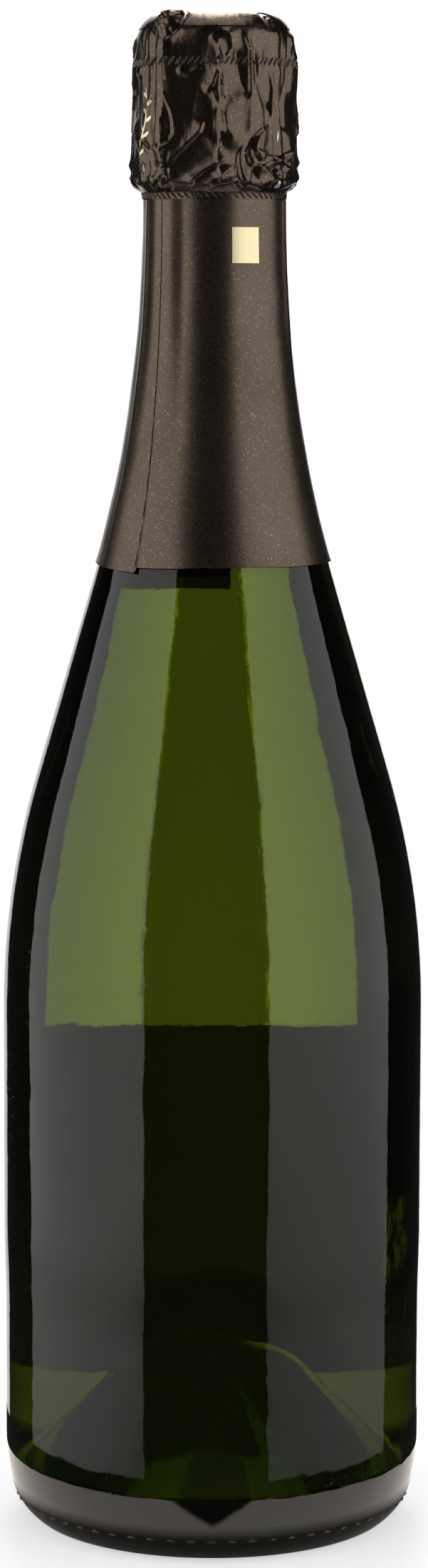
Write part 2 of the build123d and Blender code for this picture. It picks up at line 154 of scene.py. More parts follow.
class BottleFoilSettings(bpy.types.PropertyGroup):
    collar_hem: size("Hem", "Height of the collar's lower edge", 203.4)
    tear_low: size("Lower tear line", "Height of the lower row of slits", 278.0)
    thickness: size("Thickness", "Thickness of the foil", 0.12)
    stand: size("Stand", "Distance of the foil's outside from the glass of the neck", 0.33)
    crumple: size("Crumple", "Depth of the head's random creases", 0.24)
    slits: count("Slits", "Slits in the upper tear line", 80)
    slit_length: size("Slit length", "Length of a slit", 2.2)
    slit_width: size("Slit width", "Width of a slit with its raised rim", 0.62)
    tint: colour("Foil colour", "Colour of the satin foil", (0.138, 0.106, 0.080))


class BottleLabelSettings(bpy.types.PropertyGroup):
    front_low: size("Front label low", "Height of the front label's lower edge", 24.0)
    front_high: size("Front label high", "Height of the front label's upper edge", 100.7)
    front_angle: turn("Front label angle", "How far the front label reaches round", 111.5)
    front_azimuth: turn("Front azimuth", "Direction that the front label faces", 211.3)
    neck_low: size("Neck label low", "Height of the neck label's lower edge", 192.8)
    neck_high: size("Neck label high", "Height of the neck label's upper edge", 226.0)
    neck_angle: turn("Neck label angle", "How far the neck label reaches round", 77.4)
    neck_azimuth: turn("Neck azimuth", "Direction that the neck label faces", 214.5)
    # The paper is near-black, which paints the shade on the labels' backs seen through the glass
    paper: colour("Paper", "Colour of the label paper", (0.035, 0.030, 0.027))


class BottleStageSettings(bpy.types.PropertyGroup):
    backdrop: amount("Backdrop", "Strength of the white surround", 1.0)
    fill: amount("Fill", "Strength of the light from all round", 0.35)
    sides: amount("Sides", "Strength of the backdrop's two sides", 3.2)
    glare: amount("Glare", "Brightness of the light behind the top", 7.0)
    radiance: amount("Radiance", "Brightness of the soft boxes", 1.05)


# Outlines of radii and heights


def folded(angle, full=360.0):
    """An angle, or many, brought to within half a turn of zero."""
    return (angle + full / 2) % full - full / 2


def polar(middle, radius, angle):
    """The point at a distance from another, at an angle in degrees."""
    turned = math.radians(angle)
    return (middle[0] + radius * math.cos(turned), middle[1] + radius * math.sin(turned))


def arc(middle, radius, start, stop):
    """Points on an arc of an outline, from one angle to another, in degrees."""
    length = radius * math.radians(abs(stop - start))
    steps = max(2, math.ceil(abs(stop - start) / ARC_STEP), math.ceil(length / RUN_STEP))
    return [polar(middle, radius, angle) for angle in np.linspace(start, stop, steps + 1)]


def straight(start, stop):
    """Points on a straight run of an outline."""
    steps = max(1, math.ceil(math.dist(start, stop) / RUN_STEP))
    return [tuple(np.array(start) + (np.array(stop) - start) * step / steps) for step in range(steps + 1)]


def joined(*runs):
    """One outline from several runs, without doubled points."""
    points = []
    for run in runs:
        for point in run:
            if not points or math.dist(points[-1], point) > TINY:
                points.append(point)
    return points


def rounded(points, rounds):
    """A line of straight runs with a round at each inner corner, both given in millimetres."""
    points = [(radius * MM, height * MM) for radius, height in points]
    line = [[points[0]]]
    for before, corner, after, bend in zip(points, points[1:], points[2:], rounds):
        back = np.array(before) - corner
        ahead = np.array(after) - corner
        back /= np.linalg.norm(back)
        ahead /= np.linalg.norm(ahead)
        half = math.acos(np.clip(back @ ahead, -1, 1)) / 2
        reach = bend * MM / math.tan(half)
        middle = corner + (back + ahead) / np.linalg.norm(back + ahead) * bend * MM / math.sin(half)
        first = corner + back * reach - middle
        last = corner + ahead * reach - middle
        start = math.degrees(math.atan2(first[1], first[0]))
        sweep = folded(math.degrees(math.atan2(last[1], last[0])) - start)
        line.append(arc(middle, bend * MM, start, start + sweep))
    return joined(*line, [points[-1]])


def sweep_up(foot, slope_arc, reach, blend_arc, slope):
    """The sweep from the upright body wall up to the upright neck wall."""
    fall = foot[0] - reach - (slope_arc + blend_arc) * (1 - math.cos(slope))
    lean = math.degrees(slope)
    start = arc((foot[0] - slope_arc, foot[1]), slope_arc, 0, lean)
    top = start[-1][1] + fall / math.tan(slope) + blend_arc * math.sin(slope)
    end = arc((reach + blend_arc, top), blend_arc, 180 + lean, 180)
    return joined(start, straight(start[-1], end[0]), end)


def flank(glass, dome_arc, toe, toe_arc):
    """The punt's side, from its dome on the axis to where the toe's round starts, and the slope's lean."""
    middle = glass.punt_depth - PUNT_ARC
    fall = middle - toe[1]
    angle = math.atan2(fall, toe[0]) + math.asin((dome_arc + toe_arc) / math.hypot(toe[0], fall))
    lean = math.degrees(angle)
    dome = arc((0, middle), dome_arc, 90, 90 - lean)
    return joined(dome, straight(dome[-1], polar(toe, toe_arc, 270 - lean))), lean


def outer_wall(glass, offset=0.0):
    """The outside of the glass from the heel to the neck, pushed out by an offset."""
    panel = glass.body_radius - glass.panel_relief
    length = glass.panel_high - glass.panel_low
    ogee = (length ** 2 + glass.panel_relief ** 2) / (4 * glass.panel_relief)
    lean = math.degrees(math.asin(length / 2 / ogee))
    low = straight((panel + offset, HEEL_TOP), (panel + offset, glass.panel_low))
    hollow = arc((panel + ogee, glass.panel_low), ogee - offset, 180, 180 - lean)
    swell = arc((glass.body_radius - ogee, glass.panel_high), ogee + offset, -lean, 0)
    foot = (glass.body_radius + offset, glass.shoulder_low)
    reach = glass.neck_radius + offset
    sweep = sweep_up(foot, glass.shoulder_arc + offset, reach, glass.neck_arc - offset, glass.shoulder_slope)
    neck = straight(sweep[-1], (reach, MOUTH[0][1] * MM))
    return joined(low, hollow, swell, straight(swell[-1], foot), sweep, neck)


def glass_outline(glass):
    """The whole glass in section: punt, heel, wall, mouth, bore and the inside."""
    punt_side, lean = flank(glass, PUNT_ARC, TOE, TOE_ARC)
    toe = arc(TOE, TOE_ARC, 270 - lean, 270)
    wide, tight, last = HEEL_ARCS
    upper, lower = HEEL_LEANS
    top = (glass.body_radius - glass.panel_relief - wide, HEEL_TOP)
    middle = polar(top, wide - tight, -upper)
    foot = polar(middle, tight - last, -lower)
    heel = joined(arc(foot, last, -90, -lower), arc(middle, tight, -lower, -upper), arc(top, wide, -upper, 0))
    mouth = rounded(MOUTH, MOUTH_ROUNDS)
    lip = arc(LIP, LIP_ARC, 90, 180)
    return joined(punt_side, toe, heel, outer_wall(glass), mouth, lip, cavity_outline(glass)[::-1])


def cavity_outline(glass, inset=0.0):
    """The inside of the glass from the punt's top up to the lip, drawn in by an inset."""
    inner = glass.body_radius - glass.panel_relief - glass.wall
    toe = (inner - INNER_TOE_ARC, INNER_TOE_LEVEL)
    toe_arc = INNER_TOE_ARC - inset
    punt_side, lean = flank(glass, INNER_PUNT_ARC + inset, toe, toe_arc)
    heel = arc(toe, toe_arc, 270 - lean, 360)
    foot = (inner - inset, glass.shoulder_low)
    slope_arc = glass.shoulder_arc - glass.wall - glass.panel_relief - inset
    neck = NECK_BORE[0] - inset
    sweep = sweep_up(foot, slope_arc, neck, INNER_NECK_ARC + inset, glass.shoulder_slope)
    neck_side = straight(sweep[-1], (neck, NECK_BORE[1]))
    bore = MOUTH_BORE[0] - inset
    bore_side = straight((bore, MOUTH_BORE[1]), (bore, LIP[1]))
    return joined(punt_side, heel, straight(heel[-1], foot), sweep, neck_side, bore_side)


# Meshes


def finished(mesh, name, smooth=True):
    """An object for a mesh, linked to the scene."""
    piece = bpy.data.objects.new(name, mesh)
    bpy.context.scene.collection.objects.link(piece)
    for face in mesh.polygons:
        face.use_smooth = smooth
    return piece


def lofted(name, rows, closed=True, capped=False):
    """A skin between rows of points, where a row of one point is a pole, with an end face if it is capped."""
    points, rings, faces = [], [], []
    for row in rows:
        rings.append(range(len(points), len(points) + len(row)))
        points += [tuple(point) for point in row]
    columns = max(len(row) for row in rows)
    for low, high in zip(rings, rings[1:]):
        for column in range(columns if closed else columns - 1):
            after = (column + 1) % columns
            foot = [low[column % len(low)], low[after % len(low)]]
            top = [high[after % len(high)], high[column % len(high)]]
            faces.append(list(dict.fromkeys(foot + top)))
    if capped:
        faces.append(list(rings[-1]))
    mesh = bpy.data.meshes.new(name)
    mesh.from_pydata(points, [], faces)
    return finished(mesh, name)


def on_axis(azimuth, radius, height):
    """A place from a direction round the axis in radians, a radius and a height."""
    return (radius * math.sin(azimuth), -radius * math.cos(azimuth), height)


def spun(name, outline, azimuths, reach=lambda rank, azimuth: 0.0):
    """A closed skin: an outline turned all the way round, with its faces outwards, and an extra reach."""
    rows = []
    for rank, (radius, height) in enumerate(outline):
        if radius < TINY:
            rows.append([(0, 0, height)])
        else:
            rows.append([on_axis(azimuth, radius + reach(rank, azimuth), height) for azimuth in azimuths])
    piece = lofted(name, rows)
    piece.data.validate()
    work = bmesh.new()
    work.from_mesh(piece.data)
    bmesh.ops.recalc_face_normals(work, faces=work.faces)
    work.to_mesh(piece.data)
    work.free()
    return piece


def evenly(columns):
    """Directions spread evenly over a whole turn, in radians."""
    return [TURN * column / columns for column in range(columns)]


def plain(piece):
    """Turns the evaluated shape into the object's own mesh and drops its modifiers."""
    bpy.context.view_layer.update()
    graph = bpy.context.evaluated_depsgraph_get()
    mesh = bpy.data.meshes.new_from_object(piece.evaluated_get(graph))
    mesh.name = piece.name
    piece.modifiers.clear()
    old = piece.data
    piece.data = mesh
    if old.users == 0:
        bpy.data.meshes.remove(old)
    return piece


def thickened(piece, thickness):
    """Gives an open skin its wall, on the inside, and leaves a plain mesh."""
    wall = piece.modifiers.new("wall", "SOLIDIFY")
    wall.thickness = thickness
    wall.offset = -1
    wall.use_even_offset = False
    plain(piece)
    for face in piece.data.polygons:
        face.use_smooth = True
    piece.data.set_sharp_from_angle(angle=math.radians(EDGE_ANGLE))
    return piece


def painted(piece, material):
    """Gives a piece one material."""
    piece.data.materials.clear()
    piece.data.materials.append(material)


def ridden(piece, body):
    """Puts a piece on its body."""
    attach(piece, body)


def dressed(piece, body, slot, material, *nodes):
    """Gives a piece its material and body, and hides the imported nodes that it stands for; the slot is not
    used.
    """
    painted(piece, material)
    ridden(piece, body)
    if nodes:
        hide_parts(*nodes)


# Materials


def shade(tint, share):
    """A colour made darker or paler."""
    return tuple(min(1.0, part * share) for part in tint)


class Nodes:
    """A tree of nodes, with short calls that add to it."""

    def __init__(self, tree):
        self.tree = tree

    def join(self, socket, value):
        """Links a socket to another, or sets its value, where a colour is three numbers."""
        if isinstance(value, bpy.types.NodeSocket):
            self.tree.links.new(value, socket)
        elif socket.type == "RGBA":
            socket.default_value = (*value, 1.0)
        else:
            socket.default_value = value

    def add(self, kind, inputs=None, **settings):
        node = self.tree.nodes.new(kind)
        for key, value in settings.items():
            setattr(node, key, value)
        for key, value in (inputs or {}).items():
            self.join(node.inputs[key], value)
        return node

    def out(self, kind, inputs=None, output=0, **settings):
        """Adds a node and gives one of its outputs."""
        return self.add(kind, inputs, **settings).outputs[output]

    def math(self, operation, *values):
        return self.out("ShaderNodeMath", dict(enumerate(values)), operation=operation)

    def parts(self, vector):
        """The X, Y and Z of a vector."""
        return self.add("ShaderNodeSeparateXYZ", {0: vector}).outputs


class Finish(Nodes):
    """A material, with short calls that add its nodes."""

    def __init__(self, name, **sockets):
        self.material = bpy.data.materials.new(name)
        self.material.use_nodes = True
        super().__init__(self.material.node_tree)
        self.shader = self.tree.nodes["Principled BSDF"]
        self.output = self.tree.nodes["Material Output"]
        self.place = self.out("ShaderNodeTexCoord", None, "Object")
        self.mapping = self.add("ShaderNodeMapping", {"Vector": self.place})
        self.spot = self.mapping.outputs["Vector"]
        self.set(**sockets)

    def set(self, **sockets):
        """Sets inputs of the shader, whose names have underscores for spaces."""
        for key, value in sockets.items():
            self.join(self.shader.inputs[key.replace("_", " ")], value)

    def noise(self, scale, detail=2.0, rough=0.5):
        inputs = {"Vector": self.spot, "Scale": scale, "Detail": detail, "Roughness": rough}
        return self.out("ShaderNodeTexNoise", inputs, "Fac")

    def cells(self, scale, output="Distance", feature="F1"):
        inputs = {"Vector": self.spot, "Scale": scale}
        return self.out("ShaderNodeTexVoronoi", inputs, output, feature=feature)

    def ramp(self, value, *stops):
        """Colours or levels along a value: pairs of place and colour."""
        node = self.add("ShaderNodeValToRGB", {"Fac": value})
        elements = node.color_ramp.elements
        while len(elements) < len(stops):
            elements.new(0.5)
        for element, (place, level) in zip(elements, stops):
            element.position = place
            element.color = (*level, 1) if isinstance(level, tuple) else (level, level, level, 1)
        return node.outputs["Color"]

    def mix(self, factor, first, second):
        """A mix of two colours, whose sockets come after those for numbers and vectors."""
        inputs = {0: factor, 6: first, 7: second}
        return self.out("ShaderNodeMix", inputs, 2, data_type="RGBA", blend_type="MIX")

    def bump(self, height, distance, strength, normal=None):
        inputs = {"Height": height, "Distance": distance, "Strength": strength}
        if normal is not None:
            inputs["Normal"] = normal
        return self.out("ShaderNodeBump", inputs, "Normal")

    def volume(self, tint, density):
        absorbed = self.out("ShaderNodeVolumeAbsorption", {"Color": tint, "Density": density}, "Volume")
        self.join(self.output.inputs["Volume"], absorbed)

    def glow(self, tint, strength):
        return self.out("ShaderNodeEmission", {"Color": tint, "Strength": strength})

    def either(self, factor, first, second):
        """A mix of two shaders."""
        return self.out("ShaderNodeMixShader", {0: factor, 1: first, 2: second})


def glass_finish():
    """Clear green glass, faintly uneven, with worn patches of fine pits."""
    finish = Finish("green bottle glass", Roughness=0.0, IOR=1.52, Transmission_Weight=1.0, Base_Color=WHITE)
    wave = finish.math("MULTIPLY_ADD", finish.noise(140, 1.0), 0.12, finish.noise(26))
    surface = finish.bump(wave, 0.0008, 0.35)
    pits = finish.ramp(finish.cells(850), (0.0, 0.0), (0.16, 1.0))
    worn = finish.ramp(finish.noise(17, 4.0, 0.7), (0.54, 0.0), (0.66, 1.0))
    surface = finish.bump(finish.math("MULTIPLY", pits, worn), 0.00006, 0.7, surface)
    finish.set(Normal=finish.bump(finish.noise(1300), 0.000012, 0.5, surface))
    finish.volume((0.475, 0.527, 0.0), 600.0)
    return finish.material


def wine_finish():
    """Clear pale wine."""
    finish = Finish("pale wine", Roughness=0.0, IOR=1.34, Transmission_Weight=1.0)
    finish.set(Base_Color=finish.ramp(finish.noise(60), (0.3, (0.99, 0.99, 0.97)), (0.7, WHITE)))
    finish.volume((0.93, 0.88, 0.52), 5.0)
    return finish.material


def foil_finish(name, tint, rough, dent):
    """Satin bronze foil with fine bright flecks."""
    finish = Finish(name, Metallic=1.0)
    cloud = finish.noise(55, 3.0)
    grain = finish.noise(5200, 1.0)
    fleck = finish.ramp(finish.cells(4800), (0.0, 1.0), (0.16, 0.6), (0.34, 0.0))
    pick = finish.ramp(finish.noise(1900, 0.0), (0.55, 0.0), (0.68, 1.0))
    base = finish.ramp(cloud, (0.35, shade(tint, 0.86)), (0.65, shade(tint, 1.14)))
    base = finish.mix(finish.math("MULTIPLY", grain, 0.45), base, shade(tint, 1.5))
    finish.set(Base_Color=finish.mix(finish.math("MULTIPLY", fleck, pick), base, (0.95, 0.74, 0.42)))
    finish.set(Roughness=finish.ramp(grain, (0.3, rough - 0.05), (0.7, rough + 0.07)))
    finish.set(Normal=finish.bump(finish.math("MULTIPLY_ADD", cloud, 0.4, grain), dent, 0.5))
    return finish.material


def leaf_finish():
    """Gold leaf."""
    finish = Finish("gold leaf", Metallic=1.0, Roughness=0.36)
    grain = finish.noise(2600)
    finish.set(Base_Color=finish.ramp(grain, (0.3, (1.0, 0.83, 0.46)), (0.7, (1.0, 0.90, 0.60))))
    finish.set(Normal=finish.bump(grain, 0.00004, 0.5))
    return finish.material


def paper_finish(tint):
    """Uncoated paper with short fibres."""
    finish = Finish("label paper", Roughness=0.72)
    fibre = finish.noise(900, 4.0, 0.65)
    felt = finish.noise(190)
    base = finish.ramp(fibre, (0.3, shade(tint, 0.8)), (0.7, shade(tint, 1.2)))
    finish.set(Base_Color=finish.mix(finish.math("MULTIPLY", felt, 0.1), base, shade(tint, 2.0)))
    finish.set(Normal=finish.bump(finish.math("MULTIPLY_ADD", felt, 0.6, fibre), 0.00006, 0.6))
    return finish.material


def cork_finish(name, natural):
    """Cork: pressed granules, or slices of natural cork with fine pores."""
    finish = Finish(name, Roughness=0.85)
    if natural:
        finish.mapping.inputs["Scale"].default_value = (1, 1, 3.2)
        veins = finish.noise(420, 4.0, 0.7)
        dark, middle, pale = (0.42, 0.25, 0.12), (0.66, 0.45, 0.25), (0.76, 0.56, 0.34)
        base = finish.ramp(veins, (0.3, dark), (0.45, middle), (0.7, pale))
        relief = finish.ramp(veins, (0.3, 0.0), (0.42, 1.0))
    else:
        granule = 560.0
        level = finish.out("ShaderNodeSeparateColor", {"Color": finish.cells(granule, "Color")})
        dark, middle, pale = (0.44, 0.26, 0.13), (0.62, 0.42, 0.24), (0.74, 0.56, 0.36)
        base = finish.ramp(level, (0.0, dark), (0.5, middle), (1.0, pale))
        edge = finish.cells(granule, "Distance", "DISTANCE_TO_EDGE")
        relief = finish.ramp(edge, (0.0, 0.0), (0.12, 1.0))
        base = finish.mix(finish.ramp(edge, (0.0, 0.55), (0.07, 0.0)), base, (0.25, 0.13, 0.06))
    grit = finish.noise(3200, 3.0)
    finish.set(Base_Color=finish.mix(finish.math("MULTIPLY", grit, 0.3), base, (0.36, 0.22, 0.12)))
    finish.set(Normal=finish.bump(finish.math("MULTIPLY_ADD", grit, 0.25, relief), 0.00018, 0.8))
    return finish.material


def wire_finish():
    """Galvanised wire, faintly drawn."""
    finish = Finish("galvanised wire", Metallic=1.0)
    draw = finish.noise(1900, 3.0)
    finish.set(Base_Color=finish.ramp(draw, (0.3, (0.50, 0.50, 0.49)), (0.7, (0.72, 0.72, 0.70))))
    finish.set(Roughness=finish.ramp(draw, (0.3, 0.28), (0.7, 0.42)))
    finish.set(Normal=finish.bump(draw, 0.00003, 0.6))
    return finish.material


def plaque_finish():
    """Tinplate under a coat of gold lacquer."""
    finish = Finish("lacquered plaque", Metallic=0.75, Roughness=0.33, Coat_Weight=0.5, Coat_Roughness=0.12)
    swirl = finish.noise(700, 3.0)
    finish.set(Base_Color=finish.ramp(swirl, (0.3, (0.40, 0.27, 0.10)), (0.7, (0.52, 0.37, 0.16))))
    finish.set(Normal=finish.bump(swirl, 0.00003, 0.4))
    return finish.material


def slit_shadow_finish():
    """Painted shade: the near-black inside of a slit in the foil, standing for the shadow in the slit."""
    finish = Finish("slit shadow", Roughness=0.8)
    dark, pale = (0.008, 0.006, 0.005), (0.02, 0.016, 0.012)
    finish.set(Base_Color=finish.ramp(finish.noise(3000), (0.3, dark), (0.7, pale)))
    return finish.material


# Rows grown by Geometry Nodes

# A slit's rings, from its foot to its cut: share of the width and rise in millimetres, then the sides of a
# ring, and the share of a slit's length that stays when its width is gone
SLIT_RINGS = [(1.0, -0.05), (0.8, 0.13), (0.66, 0.12), (0.56, 0.02)]
SLIT_SIDES = 10
SLIT_KEPT = 0.7

# A row of slits: the radius that they are bent to, and their random sway in radians, with its seed
SLIT_BEND = 16.6 * MM
SLIT_SWAY = 0.14
SLIT_SEED = 4

# A ray that looks for the foil: how far out it starts, its length, and the height under which it has missed
RAY_START = 30.0 * MM
RAY_LENGTH = 20.0 * MM
RAY_MISSED = 0.1


class Growth(Nodes):
    """A tree of Geometry Nodes, with short calls that add its inputs and nodes."""

    def __init__(self, name):
        super().__init__(bpy.data.node_groups.new(name, "GeometryNodeTree"))
        self.tree.interface.new_socket("Geometry", in_out="OUTPUT", socket_type="NodeSocketGeometry")
        self.entry = self.tree.nodes.new("NodeGroupInput")
        self.exit = self.tree.nodes.new("NodeGroupOutput")
        self.values = {}

    def input(self, name, kind, value):
        """A named input of the tree, with the value that it gets."""
        socket = self.tree.interface.new_socket(name, in_out="INPUT", socket_type="NodeSocket" + kind)
        self.values[socket.identifier] = value
        return self.entry.outputs[name]

    def vector(self, x, y, z):
        return self.out("ShaderNodeCombineXYZ", {0: x, 1: y, 2: z})

    def outward(self, angle):
        """The direction that lies at an angle round the axis."""
        back = self.math("MULTIPLY", self.math("COSINE", angle), -1.0)
        return self.vector(self.math("SINE", angle), back, 0.0)

    def shift(self, start, way, length):
        """A place moved along a direction."""
        scaled = self.out("ShaderNodeVectorMath", {0: way, "Scale": length}, operation="SCALE")
        return self.out("ShaderNodeVectorMath", {0: start, 1: scaled}, operation="ADD")

    def attribute(self, name):
        return self.out("GeometryNodeInputNamedAttribute", {"Name": name})

    def stored(self, geometry, name, value):
        inputs = {"Geometry": geometry, "Name": name, "Value": value}
        return self.out("GeometryNodeStoreNamedAttribute", inputs)

    def spread(self, number):
        """Points to be laid evenly round the axis, and the direction of each."""
        index = self.out("GeometryNodeInputIndex")
        points = self.out("GeometryNodePoints", {"Count": number})
        return points, self.math("MULTIPLY", self.math("DIVIDE", index, number), TURN)

    def shape(self, source):
        return self.out("GeometryNodeObjectInfo", {0: source}, "Geometry")

    def copied(self, points, source, **more):
        """A real copy of an object at each point."""
        inputs = {"Points": points, "Instance": self.shape(source), **more}
        return self.out("GeometryNodeRealizeInstances", {0: self.out("GeometryNodeInstanceOnPoints", inputs)})

    def clothed(self, geometry, material, chosen=True):
        inputs = {"Geometry": geometry, "Material": material, "Selection": chosen}
        return self.out("GeometryNodeSetMaterial", inputs)

    def grown(self, name, geometry):
        """Ends the tree, runs it and keeps what it makes as a plain mesh."""
        self.join(self.exit.inputs[0], geometry)
        piece = finished(bpy.data.meshes.new(name), name)
        modifier = piece.modifiers.new("growth", "NODES")
        modifier.node_group = self.tree
        for identifier, value in self.values.items():
            modifier[identifier] = value
        return plain(piece)


def slit_seed(length, width):
    """One slit: an almond with a raised rim, whose inner face is marked as the cut."""
    rows = []
    for share, rise in SLIT_RINGS:
        long = length / 2 * (SLIT_KEPT + (1 - SLIT_KEPT) * share)
        wide = width / 2 * share
        around = evenly(SLIT_SIDES)
        rows.append([(math.sin(angle) * wide, math.cos(angle) * long, rise * MM) for angle in around])
    piece = lofted("slit", rows, capped=True)
    marks = piece.data.attributes.new("cut", "FLOAT", "FACE")
    marks.data[len(marks.data) - 1].value = 1.0
    return piece


def slit_row(name, seed, grounds, number, level, lean, foil_material, slit_shadow_material):
    """A row of slits laid on the crumpled foil: each point is dropped on it from outside."""
    growth = Growth(name)
    slit = growth.input("Slit", "Object", seed)
    foils = [growth.input("Foil " + ground.name, "Object", ground) for ground in grounds]
    slits = growth.input("Slits", "Int", number)
    height = growth.input("Height", "Float", level)
    tilt = growth.input("Lean", "Float", lean)
    points, azimuth = growth.spread(slits)
    points = growth.stored(points, "azimuth", azimuth)
    limits = {"Min": -SLIT_SWAY, "Max": SLIT_SWAY, "Seed": SLIT_SEED}
    sway = growth.out("FunctionNodeRandomValue", limits, "Value", data_type="FLOAT")
    points = growth.stored(points, "lean", growth.math("ADD", tilt, sway))
    flat = growth.copied(points, slit)

    x, y, rise = growth.parts(growth.out("GeometryNodeInputPosition"))
    sine = growth.math("SINE", growth.attribute("lean"))
    cosine = growth.math("COSINE", growth.attribute("lean"))
    across = growth.math("ADD", growth.math("MULTIPLY", x, cosine), growth.math("MULTIPLY", y, sine))
    along = growth.math("SUBTRACT", growth.math("MULTIPLY", y, cosine), growth.math("MULTIPLY", x, sine))
    angle = growth.math("ADD", growth.attribute("azimuth"), growth.math("DIVIDE", across, SLIT_BEND))
    outward = growth.outward(angle)
    axis = growth.vector(0.0, 0.0, growth.math("ADD", height, along))
    ground = growth.add("GeometryNodeJoinGeometry")
    for foil in foils:
        growth.join(ground.inputs[0], growth.shape(foil))
    drop = growth.add("GeometryNodeRaycast", {
        "Target Geometry": ground.outputs[0], "Source Position": growth.shift(axis, outward, RAY_START),
        "Ray Direction": growth.shift((0, 0, 0), outward, -1.0), "Ray Length": RAY_LENGTH,
    }).outputs
    landed = growth.shift(drop["Hit Position"], outward, rise)
    moved = {"Geometry": flat, "Position": landed, "Selection": drop["Is Hit"]}
    laid = growth.out("GeometryNodeSetPosition", moved)
    reached = growth.parts(growth.out("GeometryNodeInputPosition"))[2]
    missed = growth.math("LESS_THAN", reached, RAY_MISSED)
    laid = growth.out("GeometryNodeDeleteGeometry", {"Geometry": laid, "Selection": missed})
    # Painted shade: the slit's inner face gets the near-black shadow material
    dark = growth.math("GREATER_THAN", growth.attribute("cut"), 0.5)
    return growth.grown(name, growth.clothed(growth.clothed(laid, foil_material), slit_shadow_material, dark))


def bar_seed(length, width):
    """One raised bar: a long rounded grain lying along X."""
    mesh = bpy.data.meshes.new("bar")
    work = bmesh.new()
    bmesh.ops.create_uvsphere(work, u_segments=8, v_segments=6, radius=0.5)
    bmesh.ops.scale(work, vec=(length, width, width), verts=work.verts)
    work.to_mesh(mesh)
    work.free()
    return finished(mesh, "bar")


def bar_row(name, seed, number, radius, level, material):
    """A row of bars round the axis, half sunk into the glass."""
    growth = Growth(name)
    bar = growth.input("Bar", "Object", seed)
    reach = growth.input("Radius", "Float", radius)
    height = growth.input("Height", "Float", level)
    points, angle = growth.spread(growth.input("Bars", "Int", number))
    place = growth.shift(growth.vector(0.0, 0.0, height), growth.outward(angle), reach)
    points = growth.out("GeometryNodeSetPosition", {"Geometry": points, "Position": place})
    bars = growth.copied(points, bar, Rotation=growth.vector(0.0, 0.0, angle))
    return growth.grown(name, growth.clothed(bars, material))


# Operators for the glass and the wine


def seam_distance(glass, azimuth):
    """How far a direction lies from the nearer of the two mould seams, in radians."""
    seams = (glass.seam_azimuth, glass.seam_azimuth + math.pi)
    return min(abs(folded(azimuth - seam, TURN)) for seam in seams)


def seam_columns(glass):
    """Directions round the glass, closer together at the two mould seams."""
    step = glass.seam_width / glass.body_radius / SEAM_SHARE
    clear = SEAM_SIDE * 1.1 * step
    azimuths = [azimuth for azimuth in evenly(glass.columns) if seam_distance(glass, azimuth) > clear]
    for seam in (glass.seam_azimuth, glass.seam_azimuth + math.pi):
        azimuths += [(seam + step * rank) % TURN for rank in range(-SEAM_SIDE, SEAM_SIDE + 1)]
    return sorted(azimuths)


class BOTTLE_OT_glass(bpy.types.Operator):
    """The green glass, with its punt, mould seams, ringed mouth and the raised bars of its heel"""

    bl_idname = "bottle.glass"
    bl_label = "Glass"

    def execute(self, context):
        glass = context.scene.bottle_glass
        outline = glass_outline(glass)
        first = min(rank for rank, (radius, height) in enumerate(outline)
                    if height > SEAM_FOOT[0] and radius > SEAM_FOOT[1])
        last = max(rank for rank, (radius, height) in enumerate(outline)
                   if height > SEAM_TOP[0] and radius > SEAM_TOP[1])

        def seam(rank, azimuth):
            if not first <= rank <= last:
                return 0.0
            across = seam_distance(glass, azimuth) * outline[rank][0] / glass.seam_width
            return glass.seam_height * max(0.0, 1 - across * across) ** 2

        piece = spun("glass", outline, seam_columns(glass), seam)
        material = glass_finish()
        dressed(piece, "bottle", "green_glass", material, "glass_bottle")
        heel = np.array([point for point in outline if point[0] > HEEL_REACH and point[1] < HEEL_FOOT])
        radius = float(np.interp(glass.bar_level, heel[:, 1], heel[:, 0]))
        seed = bar_seed(glass.bar_length, glass.bar_width)
        row = bar_row("heel_bars", seed, glass.bars, radius, glass.bar_level, material)
        ridden(row, "bottle")
        bpy.data.objects.remove(seed)
        return {"FINISHED"}


class BOTTLE_OT_wine(bpy.types.Operator):
    """The wine, with its surface creeping up the glass at the edge"""

    bl_idname = "bottle.wine"
    bl_label = "Wine"

    def execute(self, context):
        glass = context.scene.bottle_glass
        wine = context.scene.bottle_wine
        brim = wine.level + wine.climb
        side = [point for point in cavity_outline(glass, -wine.bite) if point[1] < brim]
        rim = side[-1][0]
        surface = []
        for share in np.linspace(1, 0, SURFACE_RINGS):
            radius = rim * share ** SURFACE_CROWD
            surface.append((radius, wine.level + wine.climb * math.exp(-(rim - radius) / wine.creep)))
        piece = spun("wine_filling", joined(side, surface), evenly(glass.columns))
        dressed(piece, "bottle", "wine", wine_finish(), "wine")
        return {"FINISHED"}


# Foil: lengths in millimetres and directions in degrees, from the camera's side

# The head: its two radii, the round of its crown, and its side from the lower tear line up, with the round of
# each inner corner, then the step between its rings, its columns and a length that counts as none
HEAD_REACH = 16.85
HEAD_NARROW = 16.3
CROWN_ARC = 6.65
CROWN_LEVEL = 309.5
HEAD_LINE = [
    (14.8, 278.0), (14.95, 279.3), (HEAD_REACH, 281.6), (HEAD_REACH, 288.5), (HEAD_NARROW, 297.0),
    (HEAD_NARROW, CROWN_LEVEL),
]
HEAD_ROUNDS = [1.2, 2.2, 6.0, 6.0]
HEAD_STEP = 0.27
HEAD_COLUMNS = 400
NEAR = 0.01

# The upper tear line, the cap's inner edge, and the disc with its hem, its stand over the cap and its columns
TEAR_HIGH = 306.21
CAP_EDGE = 8.8
DISC_HEM = 312.6
DISC_STAND = 0.22
DISC_COLUMNS = 320

# The upper row of slits: how far it lies under its tear line, and its lean. The lower row: its height, its
# lean, and how many slits fewer it has.
SLITS_HIGH = (0.4, 32.0)
SLITS_LOW = (278.75, -50.0)
SLITS_FEWER = 16

